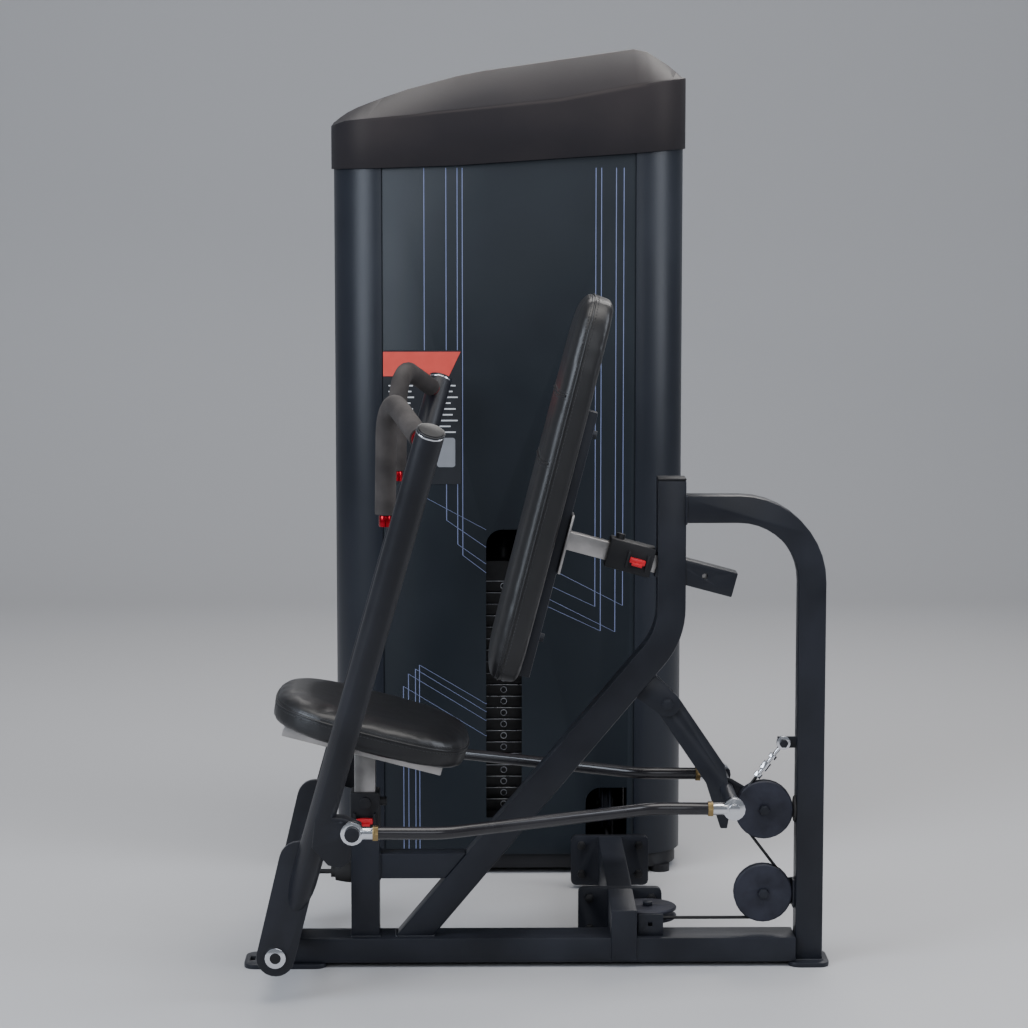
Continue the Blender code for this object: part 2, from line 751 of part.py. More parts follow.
def turnbuckle():
    """The adjuster that anchors the cable: an eye, two nuts and a threaded shank."""
    to = polar(FLOAT, anchor_tangent())
    along = (to - ANCHOR).normalized()
    eye = rod("turnbuckle", on_y(ANCHOR, -0.0038), on_y(ANCHOR, 0.0038), 0.0125, chrome)
    shank = rod("shank", ANCHOR + along * 0.009, ANCHOR + along * 0.077, 0.0036, segments=16)
    nuts = [
        rod("nut", ANCHOR + along * a, ANCHOR + along * b, 0.0075, segments=6)
        for a, b in ((0.027, 0.034), (0.044, 0.060), (0.068, 0.077))
    ]
    join(eye, shank, *nuts)
    cut(eye, rod("bore", on_y(ANCHOR, -0.02), on_y(ANCHOR, 0.02), 0.0049, segments=16))


def cable(name, path):
    return swept(name, path, circle(CABLE_R, 6), cable_sheath)


def moving_cables():
    """The two free lengths either side of the travelling pulley, and the length that its groove holds."""
    to = polar(FLOAT, anchor_tangent())
    along = (to - ANCHOR).normalized()
    cable("cable_anchor_span", [ANCHOR + along * 0.0775, to - along * 0.0005])
    leave = polar(FLOAT, drop_tangent())
    land = polar(LOW, drop_tangent() + 180)
    way = (land - leave).normalized()
    cable("cable_drop_span", [leave + way * 0.0005, land - way * 0.0005])
    first, last = drop_tangent() + 360, anchor_tangent()
    cable("cable_float_wrap", [polar(FLOAT, last + (first - last) * k / 10) for k in range(11)])


def quarter(centre, a, b, radius, steps=6):
    """An arc from direction a to direction b, both at right angles and of unit length."""
    a, b = Vector(a), Vector(b)
    return [
        centre + (a * cos(pi / 2 * k / steps) + b * sin(pi / 2 * k / steps)) * radius
        for k in range(steps + 1)
    ]


def cable_run():
    """The cable from the low pulley along the rail, through the beam and up the tower to its top pulleys."""
    land = drop_tangent() + 180
    path = [polar(LOW, land - (land + 90) * k / 8) for k in range(9)]
    path += quarter(SIDE, (0, -1, 0), (-1, 0, 0), GROOVE_R)
    low, right, left = tower_pulley_centres()
    path += quarter(low, (0, 0, -1), (0, 1, 0), GROOVE_R)
    path += quarter(right, (1, 0, 0), (0, 0, 1), GROOVE_R)
    path += quarter(left, (0, 0, 1), (-1, 0, 0), GROOVE_R)
    path.append(Vector((STACK_X, STACK_Y, 1.1600)))
    cable("cable_run", path)


def stack_cable():
    cable("cable_stack_span", [(STACK_X, STACK_Y, 1.1595), (STACK_X, STACK_Y, stack_top() + 0.0805)])


# ---- seat and back pad ----


def seat_frame():
    """Places a piece drawn flat, its length along X, in the tilted plane of the seat."""
    return Matrix.Translation(SEAT_CENTRE) @ Matrix.Rotation(radians(SEAT_DEG), 4, "Y")


def cushion(name, size, power, mat):
    """A pad drawn flat: a rounded outline, a boxed edge and a crowned face towards +Z."""
    half_x, half_y, half_z = (s / 2 for s in size)
    levels = [
        (-1.0, 0.010), (-0.88, 0.001), (-0.5, 0.0), (0.35, 0.0), (0.66, 0.005), (0.86, 0.020), (1.0, 0.052)
    ]
    rings = []
    for level, inset in levels:
        ring = []
        for k in range(OUTLINE):
            c, s = cos(2 * pi * k / OUTLINE), sin(2 * pi * k / OUTLINE)
            x = abs(c) ** (2 / power) * (1 if c > 0 else -1) * (half_x - inset)
            y = abs(s) ** (2 / power) * (1 if s > 0 else -1) * (half_y - inset)
            ring.append((x, y, half_z * level))
        rings.append(ring)
    return ring_solid(name, rings, mat)


def seat_pad():
    turned_to(cushion("seat_pad", SEAT_SIZE, 3.0, leatherette), seat_frame())


def seat_plate():
    """The pressed steel tray under the seat, open below."""
    top = -SEAT_SIZE[2] / 2 - GAP
    tray = block("seat_plate", (-0.148, -0.078, top - 0.022), (0.138, 0.078, top), nickel, 0.002)
    cut(tray, block("inside", (-0.145, -0.075, top - 0.03), (0.135, 0.075, top - 0.004)))
    turned_to(tray, seat_frame())


def seat_tube():
    """The bright tube that slides in the seat post, cut to the seat's slope."""
    half, low = 0.0185, 0.125
    under = SEAT_SIZE[2] / 2 + GAP + 0.004 + GAP

    def top(x):
        slope = radians(SEAT_DEG)
        return SEAT_CENTRE.z - under / cos(slope) - (x - SEAT_CENTRE.x) * tan(slope)

    left, right = POST_X - half, POST_X + half
    outline = [(left, low), (right, low), (right, top(right)), (left, top(left))]
    prism("seat_tube", outline, "Y", -half, half, nickel, 0.0015)


def seat_sleeve():
    low, high, half = POST_TOP + GAP, 0.313, 0.0262
    sleeve = block(
        "seat_sleeve", (POST_X - half, -half, low), (POST_X + half, half, high), black_plastic, 0.003
    )
    boss = rod("boss", (POST_X + 0.001, -half + 0.002, 0.296), (POST_X + 0.001, -half - 0.010, 0.296), 0.010)
    knob = rod("knob", (POST_X + half - 0.002, 0, 0.293), (POST_X + half + 0.012, 0, 0.293), 0.008)
    ears = [
        block("ear", (x, -half - 0.014, 0.250), (x + 0.004, -half + 0.002, 0.278))
        for x in (POST_X - 0.0195, POST_X + 0.0155)
    ]
    join(sleeve, boss, knob, *ears)
    cut(sleeve, block("inside", (POST_X - 0.0188, -0.0188, 0.2), (POST_X + 0.0188, 0.0188, 0.4)))


def seat_lever():
    x = POST_X
    lever = block(
        "seat_lever", (x - 0.0150, -0.0400, 0.2590), (x + 0.0150, -0.0280, 0.2690), red_plastic, 0.002
    )
    join(lever, block("tab", (x - 0.010, -0.0470, 0.2560), (x + 0.010, -0.0380, 0.2610)))


def back_frame():
    """Places a piece drawn flat on the back pad: Y across, X up it, and its face towards the user."""
    return Matrix.Translation(BACK_CENTRE) @ Matrix.Rotation(radians(BACK_DEG - 90), 4, "Y")


def back_pad():
    width, length, thick = BACK_SIZE
    pad = cushion("back_pad", (length, width, thick), 5.0, leatherette)
    turned_to(pad, back_frame())


def back_bar():
    """The channel down the back of the pad, with its bolt heads."""
    top = -BACK_SIZE[2] / 2 - GAP
    bar = block("back_bar", (-0.335, -0.019, top - 0.022), (0.148, 0.019, top), edge=0.002)
    at = [(x, 0, top - 0.022) for x in (0.108, -0.262)]
    join(bar, *[bolt("bolt", p, (0, 0, -1)) for p in at])
    turned_to(bar, back_frame())


def back_slide_tube():
    """The bright square tube that carries the back pad, with its bolting plate."""
    top = -BACK_SIZE[2] / 2 - GAP - 0.022 - GAP
    plate = block("plate", (-0.142, -0.030, top - 0.005), (-0.036, 0.030, top), nickel)
    turned_to(plate, back_frame())
    half = 0.0160
    tube = block("back_slide_tube", (-0.1900, -half, -half), (0.085, half, half), nickel, 0.0015)
    turned_to(tube, slide_frame())
    join(tube, plate)


def back_outer_tube():
    """The painted tube through the upright, open at the front and capped at the rear."""
    tube = block("back_outer_tube", (-0.026, -0.0220, -0.0220), (0.115, 0.0220, 0.0220), edge=0.002)
    cut(tube, block("inside", (-0.2, -0.0165, -0.0165), (0.111, 0.0165, 0.0165)))
    cut(tube, rod("hole", (0.060, -0.1, 0.002), (0.060, -0.01, 0.002), 0.005, segments=16))
    turned_to(tube, slide_frame())


def back_sleeve():
    half = 0.0262
    sleeve = block("back_sleeve", (-0.1165, -half, -half), (-0.0345, half, half), black_plastic, 0.003)
    boss = rod("boss", (-0.1000, 0, half - 0.002), (-0.1000, 0, half + 0.009), 0.008)
    ears = [
        block("ear", (x, -half - 0.014, -0.016), (x + 0.004, -half + 0.002, 0.012)) for x in (-0.082, -0.047)
    ]
    join(sleeve, boss, *ears)
    cut(sleeve, block("inside", (-0.2, -0.0165, -0.0165), (0.0, 0.0165, 0.0165)))
    turned_to(sleeve, slide_frame())


def back_lever():
    lever = block("back_lever", (-0.0770, -0.0400, -0.0070), (-0.0480, -0.0280, 0.0030), red_plastic, 0.002)
    join(lever, block("tab", (-0.0720, -0.0470, -0.0100), (-0.0530, -0.0380, -0.0050)))
    turned_to(lever, slide_frame())


# ---- tower ----


def plan(offset=0.0, steps=8):
    """The tower's outline in X and Y, grown by offset."""
    x0, x1 = TOWER_X[0] - offset, TOWER_X[1] + offset
    y0, y1 = TOWER_Y[0] - offset, TOWER_Y[1] + offset
    r = CORNER_R + offset
    corners = [(x1 - r, y1 - r, 0), (x0 + r, y1 - r, 90), (x0 + r, y0 + r, 180), (x1 - r, y0 + r, 270)]
    return [
        (x + r * cos(radians(a + 90 * k / steps)), y + r * sin(radians(a + 90 * k / steps)))
        for x, y, a in corners
        for k in range(steps + 1)
    ]


def tower_pulley_centres():
    x = SIDE.x - GROOVE_R
    low = Vector((x, STACK_Y - GROOVE_R, CABLE_Z + GROOVE_R))
    return low, Vector((x - GROOVE_R, STACK_Y, TOP_Z)), Vector((STACK_X + GROOVE_R, STACK_Y, TOP_Z))


def tower_base():
    """The plinth and its feet, the stack's stand, the beam's far flange, and the low pulley's bracket."""
    base = prism("tower_base", plan(-0.008), "Z", *PLINTH_Z, black_plastic)
    feet_at = [
        (x, y)
        for x in (TOWER_X[0] + 0.050, TOWER_X[1] - 0.042)
        for y in (TOWER_Y[0] + 0.034, TOWER_Y[1] - 0.05)
    ]
    feet_made = [rod("foot", (x, y, 0), (x, y, PLINTH_Z[0] + 0.003), 0.020) for x, y in feet_at]
    stand = block(
        "stand", (STACK_X - 0.085, STACK_Y - 0.045, 0.030), (STACK_X + 0.085, STACK_Y + 0.045, STACK_Z - GAP)
    )
    y = BEAM_END_Y + GAP
    stub = block("stub", (BEAM_X[0], y + 0.004, BEAM_Z[0]), (BEAM_X[1], 0.70, PLINTH_Z[1] - 0.001))
    low = tower_pulley_centres()[0]
    ear = block("ear", (low.x + 0.012, low.y - 0.016, 0.030), (low.x + 0.016, low.y + 0.016, low.z + 0.014))
    join(base, *feet_made, stand, stub, flange("plate", y), ear, pulley_axle(low, (1, 0, 0), 0.014))
    cut(base, cable_channel(0.5, 0.6))


def shell(name, keep_left):
    """One side of the shroud: a rounded corner, the side and the rear corner, open towards the panels."""
    outer = prism(name, plan(), "Z", PLINTH_Z[1] + GAP, SHELL_TOP, shroud_paint)
    inner = prism("inner", plan(-SHELL_T), "Z", 0.0, 1.6)
    x = TOWER_X[0] + CORNER_R if keep_left else TOWER_X[1] - CORNER_R
    away = block("away", (x, 0.5, -0.1), (1.0, 1.2, 1.6)) if keep_left else block(
        "away", (-1.0, 0.5, -0.1), (x, 1.2, 1.6)
    )
    cut(outer, inner, away)


def opening(x0, x1, z0, z1, corner, depth=(0.6, 0.7)):
    """A cutter with a rounded upper left corner."""
    arc = [
        (
            x0 + corner - corner * cos(radians(15 * k)), z1 - corner + corner * sin(radians(15 * k))
        ) for k in range(7)
    ]
    return prism("opening", [(x0, z0), *arc, (x1, z1), (x1, z0)], "Y", *depth)


def panels():
    x0, x1 = TOWER_X[0] + CORNER_R + GAP, TOWER_X[1] - CORNER_R - GAP
    z0, z1 = PLINTH_Z[1] + GAP, SHELL_TOP
    front = block("front_panel", (x0, TOWER_Y[0] + 0.002, z0), (x1, TOWER_Y[0] + 0.006, z1), panel_paint)
    cut(front, opening(*SLOT_X, *SLOT_Z, 0.032), opening(*ARCH_X, *ARCH_Z, 0.030))
    block("rear_panel", (x0, TOWER_Y[1] - 0.006, z0), (x1, TOWER_Y[1] - 0.002, z1), panel_paint)


# Heights of the cover along X: its lower edge, its front upper edge and its ridge
COVER_EDGE = [(-0.41, 1.407), (-0.30, 1.409), (-0.137, 1.415), (0.035, 1.428), (0.190, 1.438), (0.291, 1.447)]
COVER_FRONT = [
    (-0.41, 1.492), (-0.38, 1.502), (-0.137, 1.523), (0.038, 1.542), (0.190, 1.570), (0.291, 1.586)
]
COVER_RIDGE = [
    (-0.41, 1.500), (-0.39, 1.516), (-0.36, 1.530), (-0.273, 1.562), (-0.137, 1.598), (0.038, 1.623)
]
COVER_RIDGE += [(0.204, 1.647), (0.272, 1.607), (0.291, 1.590)]


def height(profile, x):
    for (xa, za), (xb, zb) in zip(profile, profile[1:]):
        if x <= xb:
            return za + (zb - za) * max(0.0, x - xa) / (xb - xa)
    return profile[-1][1]


def cover_body(name, offset, drop, below):
    """The cover as a solid, grown by offset, lowered by drop and carried down by below."""
    x0, x1 = TOWER_X[0] - offset, TOWER_X[1] + offset
    y0, y1 = TOWER_Y[0] - offset, TOWER_Y[1] + offset
    r, middle = CORNER_R + offset, (TOWER_Y[0] + TOWER_Y[1]) / 2
    stations = [(r * (1 - cos(radians(a))), r * (1 - sin(radians(a)))) for a in (0, 15, 30, 45, 60, 75, 90)]
    columns = [(x0 + dx, dy) for dx, dy in stations]
    columns += [(x0 + r + (x1 - x0 - 2 * r) * k / 10, 0.0) for k in range(1, 10)]
    columns += [(x1 - dx, dy) for dx, dy in reversed(stations)]
    rings = []
    for x, back in columns:
        front, rear = y0 + back, y1 - back
        low = height(COVER_EDGE, x) - below
        shoulder, ridge = height(COVER_FRONT, x) - drop, height(COVER_RIDGE, x) - drop
        crest = min(front + 0.14, middle - 0.02)
        soft = 0.05  # share of the slope that rounds its lower edge
        knee = shoulder + (ridge - shoulder) * soft, (crest - front) * soft
        half = [(front, low), (front, shoulder - 0.007), (front + 0.002, shoulder - 0.001)]
        half += [(front + 0.002 + knee[1], knee[0]), (crest - 0.006, ridge - 0.0015), (crest, ridge)]
        rings.append([(x, y, z) for y, z in half] + [(x, 2 * middle - y, z) for y, z in reversed(half)])
    return ring_solid(name, rings, cover_plastic, smooth=False)


def tower_cover():
    cover = cover_body("tower_cover", COVER_LIP + 0.001, 0.0, 0.0)
    cut(cover, cover_body("inside", 0.001, 0.006, 0.1))


def guide_frame():
    """The guide rods, their head plate and the stands of the two top pulleys."""
    y, floor = STACK_Y, PLINTH_Z[1] + GAP
    frame = block("guide_frame", (STACK_X - 0.115, y - 0.030, 1.215), (0.108, y + 0.030, 1.233), edge=0.002)
    rods = [
        rod("rod", (STACK_X + s * GUIDE_X, y, STACK_Z), (STACK_X + s * GUIDE_X, y, 1.225), 0.009, segments=16)
        for s in (-1, 1)
    ]
    stands = []
    for centre in tower_pulley_centres()[1:]:
        stands.append(
            block("stand", (centre.x - 0.012, y + 0.012, 1.225), (centre.x + 0.012, y + 0.017, TOP_Z + 0.014))
        )
        stands.append(pulley_axle(centre, (0, 1, 0), 0.014))
    join(frame, *rods, *stands)
    cut(frame, rod("hole", (STACK_X, y, 1.1), (STACK_X, y, 1.3), 0.006, segments=16))


def stack_top():
    return STACK_Z + PLATES * PLATE_PITCH


def comb(name, first, last):
    """Plates from one number to another, counted from the floor, as one piece with a groove between each."""
    (long, half), deep, slit = PLATE_HALF, 0.012, 0.0022
    edges = [STACK_Z + PLATE_PITCH * k for k in range(first, last + 1)]
    front, back = [(STACK_Y - half, edges[0])], [(STACK_Y + half, edges[0])]
    for z in edges[1:-1]:
        for y, sign, out in ((STACK_Y - half, 1, front), (STACK_Y + half, -1, back)):
            out += [
                (y, z - slit / 2),
                (y + sign * deep, z - slit / 2),
                (y + sign * deep, z + slit / 2),
                (y, z + slit / 2),
            ]
    front.append((STACK_Y - half, edges[-1] - GAP))
    back.append((STACK_Y + half, edges[-1] - GAP))
    return prism(name, front + back[::-1], "X", STACK_X - long, STACK_X + long, plate_iron)


def stack_bores(radius):
    """The bores for the guide rods, and a core bore for the stem where radius isn't 0."""
    rods = [
        rod(
            "bore",
            (STACK_X + s * GUIDE_X, STACK_Y, 0),
            (STACK_X + s * GUIDE_X, STACK_Y, 1.5),
            0.0105,
            segments=16,
        )
        for s in (-1, 1)
    ]
    return rods + (
        [rod("core", (STACK_X, STACK_Y, 0), (STACK_X, STACK_Y, 1.5), radius, segments=16)] if radius else []
    )


def weight_stack():
    """The resting plates, and the selected plates with their head, stem and pin."""
    split = PLATES - LIFTED
    cut(comb("stack_lower", 0, split), *stack_bores(0.0130))
    lifted = comb("stack_lifted", split, PLATES)
    top = stack_top()
    low = (STACK_X - PLATE_HALF[0], STACK_Y - PLATE_HALF[1], top - 0.004)
    high = (STACK_X + PLATE_HALF[0], STACK_Y + PLATE_HALF[1], top + 0.040)
    head = block("head", low, high, edge=0.003)
    join(lifted, head)
    cut(lifted, *stack_bores(0))
    stem = rod("stem", (STACK_X, STACK_Y, STACK_Z + 0.010), (STACK_X, STACK_Y, top + 0.060), 0.0115)
    clamp = rod("clamp", (STACK_X, STACK_Y, top + 0.052), (STACK_X, STACK_Y, top + 0.080), 0.0085, segments=6)
    join(lifted, stem, clamp)
    z = STACK_Z + PLATE_PITCH * (split + 0.5)
    front = STACK_Y - PLATE_HALF[1]
    cut(lifted, rod("bore", (STACK_X, front - 0.02, z), (STACK_X, front + 0.036, z), 0.0052, segments=16))
    pin = rod(
        "selector_pin", (STACK_X, front - 0.010, z), (STACK_X, front + 0.034, z), 0.0048, red_anodised, 16
    )
    join(pin, rod("knob", (STACK_X, front - 0.034, z), (STACK_X, front - 0.008, z), 0.0125))


def joint_origins():
    """A point on each moving piece's joint axis."""
    slide = Vector((POST_X, 0, POST_TOP))
    stack = Vector((STACK_X, STACK_Y, STACK_Z))
    low, right, left = tower_pulley_centres()
    pivots = [
        (
            PIVOT,
            "arm_yoke left_arm left_grip left_collar left_cap right_arm right_grip right_collar right_cap",
        ),
        (on_y(ROD_FRONT, -ROD_FRONT_Y), "left_push_rod"),
        (on_y(ROD_FRONT, ROD_FRONT_Y), "right_push_rod"),
        (LINK_PIVOT, "swing_link float_yoke cable_float_wrap"),
        (FLOAT, "float_pulley"),
        (LOW, "low_pulley"),
        (SIDE, "side_pulley"),
        (low, "tower_low_pulley"),
        (right, "top_pulley_right"),
        (left, "top_pulley_left"),
        (ANCHOR, "turnbuckle cable_anchor_span"),
        (stack, "stack_lifted selector_pin"),
        (slide, "seat_pad seat_plate seat_tube"),
        (SLIDE_AT, "back_pad back_bar back_slide_tube"),
        (Vector((POST_X, -0.0334, 0.264)), "seat_lever"),
        (slide_frame() @ Vector((-0.0625, -0.0334, -0.002)), "back_lever"),
    ]
    return {name: point for point, names in pivots for name in names.split()}


def settle():
    """Puts the origin under the middle of the machine, and each moving piece's own origin on its joint."""
    objects = list(bpy.context.scene.objects)
    corners = [v.co for obj in objects for v in obj.data.vertices]
    low, high = ([pick(p[i] for p in corners) for i in range(3)] for pick in (min, max))
    shift = Vector((-(low[0] + high[0]) / 2, -(low[1] + high[1]) / 2, -low[2]))
    origins = joint_origins()
    for obj in objects:
        origin = origins.get(obj.name, Vector())
        obj.data.transform(Matrix.Translation(-origin))
        obj.location = origin + shift


def build():
    for obj in list(bpy.data.objects):
        bpy.data.objects.remove(obj)
    feet()
    base_rail()
    connector_beam()
    arm_axle()
    seat_post()
    seat_cross_tube()
    backrest_upright()
    rear_frame()
    bumper()
    link_bracket()
    arm_stop()
    arm_yoke()
    for name, side in (("left", -1), ("right", 1)):
        arm(name + "_arm", side)
        handle(name, side)
        push_rod(name + "_push_rod", side)
    swing_link()
    float_yoke()
    low_pulley_bracket()
    side_pulley_bracket()
    pulley("float_pulley", FLOAT, (0, 1, 0))
    pulley("low_pulley", LOW, (0, 1, 0))
    pulley("side_pulley", SIDE, (0, 0, 1))
    low, right, left = tower_pulley_centres()
    pulley("tower_low_pulley", low, (1, 0, 0))
    pulley("top_pulley_right", right, (0, 1, 0))
    pulley("top_pulley_left", left, (0, 1, 0))
    turnbuckle()
    moving_cables()
    cable_run()
    stack_cable()
    seat_pad()
    seat_plate()
    seat_tube()
    seat_sleeve()
    seat_lever()
    back_pad()
    back_bar()
    back_slide_tube()
    back_outer_tube()
    back_sleeve()
    back_lever()
    tower_base()
    shell("tower_left_shell", True)
    shell("tower_right_shell", False)
    panels()
    tower_cover()
    guide_frame()
    weight_stack()
    settle()


build()
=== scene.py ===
import json
from math import cos, pi, radians, sin

import bmesh
import bpy
from mathutils import Matrix, Vector


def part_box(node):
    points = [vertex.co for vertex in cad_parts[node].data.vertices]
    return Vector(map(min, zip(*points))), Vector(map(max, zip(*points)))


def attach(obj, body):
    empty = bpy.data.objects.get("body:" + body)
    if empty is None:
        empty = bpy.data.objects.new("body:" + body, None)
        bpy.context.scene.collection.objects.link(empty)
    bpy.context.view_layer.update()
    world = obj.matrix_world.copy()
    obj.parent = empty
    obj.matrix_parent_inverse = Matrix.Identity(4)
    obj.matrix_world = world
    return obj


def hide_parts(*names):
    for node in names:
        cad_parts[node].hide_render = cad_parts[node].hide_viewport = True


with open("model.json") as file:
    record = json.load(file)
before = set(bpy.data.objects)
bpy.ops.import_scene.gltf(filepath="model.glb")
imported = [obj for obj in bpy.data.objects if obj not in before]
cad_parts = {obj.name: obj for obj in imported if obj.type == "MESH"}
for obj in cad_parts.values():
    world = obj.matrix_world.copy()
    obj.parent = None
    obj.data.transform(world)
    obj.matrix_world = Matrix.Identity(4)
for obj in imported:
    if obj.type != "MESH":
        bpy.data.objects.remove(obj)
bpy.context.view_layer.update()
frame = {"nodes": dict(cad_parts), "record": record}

# ---- Stage -------------------------------------------------------------------------------------
# A pale studio floor that runs up into a backdrop, a level camera at the left-hand side of the machine,
# and large soft lamps, so that the black steel shows its edges.


def only(obj):
    """Selects this object alone and makes it active."""
    bpy.ops.object.select_all(action="DESELECT")
    obj.select_set(True)
    bpy.context.view_layer.objects.active = obj


def shader_of(name):
    """A new material with its node tree and its Principled shader."""
    material = bpy.data.materials.new(name)
    material.use_nodes = True
    tree = material.node_tree
    return material, tree, tree.nodes["Principled BSDF"]


floor_paint, floor_tree, floor_shader = shader_of("studio_floor")
floor_shader.inputs["Roughness"].default_value = 0.62
floor_noise = floor_tree.nodes.new("ShaderNodeTexNoise")
floor_noise.inputs["Scale"].default_value = 1.7
floor_noise.inputs["Detail"].default_value = 8.0
floor_ramp = floor_tree.nodes.new("ShaderNodeValToRGB")
floor_ramp.color_ramp.elements[0].color = (0.40, 0.40, 0.41, 1.0)
floor_ramp.color_ramp.elements[1].color = (0.47, 0.47, 0.48, 1.0)
floor_tree.links.new(floor_noise.outputs["Fac"], floor_ramp.inputs["Fac"])
floor_tree.links.new(floor_ramp.outputs["Color"], floor_shader.inputs["Base Color"])

BACKDROP_Y = 4.2
bpy.ops.object.select_all(action="DESELECT")
bpy.ops.mesh.primitive_plane_add(size=16.0, location=(0.0, BACKDROP_Y - 8.0, 0.0))
floor = bpy.context.object
floor.name = "studio_floor"
bpy.ops.object.mode_set(mode="EDIT")
bpy.ops.mesh.select_mode(type="EDGE")
bpy.ops.mesh.select_all(action="DESELECT")
edges = bmesh.from_edit_mesh(floor.data)
for edge in edges.edges:
    edge.select_set(all(vert.co.y > 7.9 for vert in edge.verts))
bmesh.update_edit_mesh(floor.data)
for step in range(1, 10):
    before, after = radians(10 * (step - 1)), radians(10 * step)
    rise = (0.0, 1.2 * (sin(after) - sin(before)), 1.2 * (cos(before) - cos(after)))
    bpy.ops.mesh.extrude_region_move(TRANSFORM_OT_translate={"value": rise})
bpy.ops.mesh.extrude_region_move(TRANSFORM_OT_translate={"value": (0.0, 0.0, 6.0)})
bpy.ops.object.mode_set(mode="OBJECT")
bpy.ops.object.shade_smooth()
floor.data.materials.append(floor_paint)

CAMERA_AT = Vector((-0.103, -5.3742, 1.400))
camera_data = bpy.data.cameras.new("camera")
camera_data.lens = 103.3
camera_data.sensor_width = 36.0
camera = bpy.data.objects.new("camera", camera_data)
bpy.context.collection.objects.link(camera)
camera.location = CAMERA_AT
camera.rotation_euler = (radians(90 - 6.6), 0.0, radians(-0.7))
bpy.context.scene.camera = camera


def softbox(name, at, aim, size, power, tint):
    lamp = bpy.data.lights.new(name, "AREA")
    lamp.shape = "RECTANGLE"
    lamp.size, lamp.size_y = size
    lamp.energy = power
    lamp.color = tint
    holder = bpy.data.objects.new(name, lamp)
    bpy.context.collection.objects.link(holder)
    holder.location = at
    holder.rotation_euler = (Vector(aim) - Vector(at)).to_track_quat("-Z", "Y").to_euler()


softbox("left_window", (-3.6, -2.6, 2.6), (0.0, 0.0, 0.8), (2.4, 3.0), 190.0, (0.80, 0.88, 1.0))
softbox("overhead", (0.2, -0.8, 4.4), (0.0, 0.0, 0.4), (4.0, 3.0), 165.0, (1.0, 0.97, 0.93))
softbox("right_window", (3.4, -1.0, 2.4), (0.1, 0.1, 0.8), (1.6, 2.8), 90.0, (0.86, 0.91, 1.0))
softbox("front_fill", (0.8, -5.6, 2.8), (0.0, 0.0, 0.7), (3.0, 2.0), 45.0, (0.92, 0.95, 1.0))
softbox("rear", (0.6, 3.4, 3.4), (0.0, 0.5, 1.2), (3.0, 1.5), 70.0, (1.0, 0.97, 0.94))
world = bpy.data.worlds.new("studio")
bpy.context.scene.world = world
world.use_nodes = True
world.node_tree.nodes["Background"].inputs["Color"].default_value = (0.62, 0.66, 0.72, 1.0)
world.node_tree.nodes["Background"].inputs["Strength"].default_value = 0.38

# ---- Base and frame weldment -------------------------------------------------------------------
# Square steel tube, cut, welded and powder coated in a satin blue-black with a fine orange-peel texture.
# The feet, the bolting flanges, the brackets and the rear bow are all coated in one go.

coat_texture = bpy.data.node_groups.new("coat_texture", "ShaderNodeTree")
for socket, kind, value in (("Fine", "NodeSocketFloat", 900.0), ("Broad", "NodeSocketFloat", 7.0)):
    made = coat_texture.interface.new_socket(socket, in_out="INPUT", socket_type=kind)
    made.default_value = value
for socket in ("Height", "Mottle", "Dust"):
    coat_texture.interface.new_socket(socket, in_out="OUTPUT", socket_type="NodeSocketFloat")


def build_coat_texture():
    """Fine pebbling, broad mottling, and the dust that settles on faces that look up."""
    nodes, link = coat_texture.nodes, coat_texture.links.new
    entry, leave = nodes.new("NodeGroupInput"), nodes.new("NodeGroupOutput")
    place = nodes.new("ShaderNodeTexCoord")
    fine, broad = nodes.new("ShaderNodeTexNoise"), nodes.new("ShaderNodeTexNoise")
    fine.inputs["Detail"].default_value = 3.0
    broad.inputs["Detail"].default_value = 6.0
    for noise, socket in ((fine, "Fine"), (broad, "Broad")):
        link(place.outputs["Object"], noise.inputs["Vector"])
        link(entry.outputs[socket], noise.inputs["Scale"])
    normal = nodes.new("ShaderNodeNewGeometry")
    parts = nodes.new("ShaderNodeSeparateXYZ")
    link(normal.outputs["Normal"], parts.inputs[0])
    up = nodes.new("ShaderNodeMapRange")
    up.inputs["From Min"].default_value = 0.55
    up.inputs["From Max"].default_value = 1.0
    link(parts.outputs["Z"], up.inputs["Value"])
    dust = nodes.new("ShaderNodeMath")
    dust.operation = "MULTIPLY"
    link(up.outputs["Result"], dust.inputs[0])
    link(broad.outputs["Fac"], dust.inputs[1])
    link(fine.outputs["Fac"], leave.inputs["Height"])
    link(broad.outputs["Fac"], leave.inputs["Mottle"])
    link(dust.outputs["Value"], leave.inputs["Dust"])


build_coat_texture()


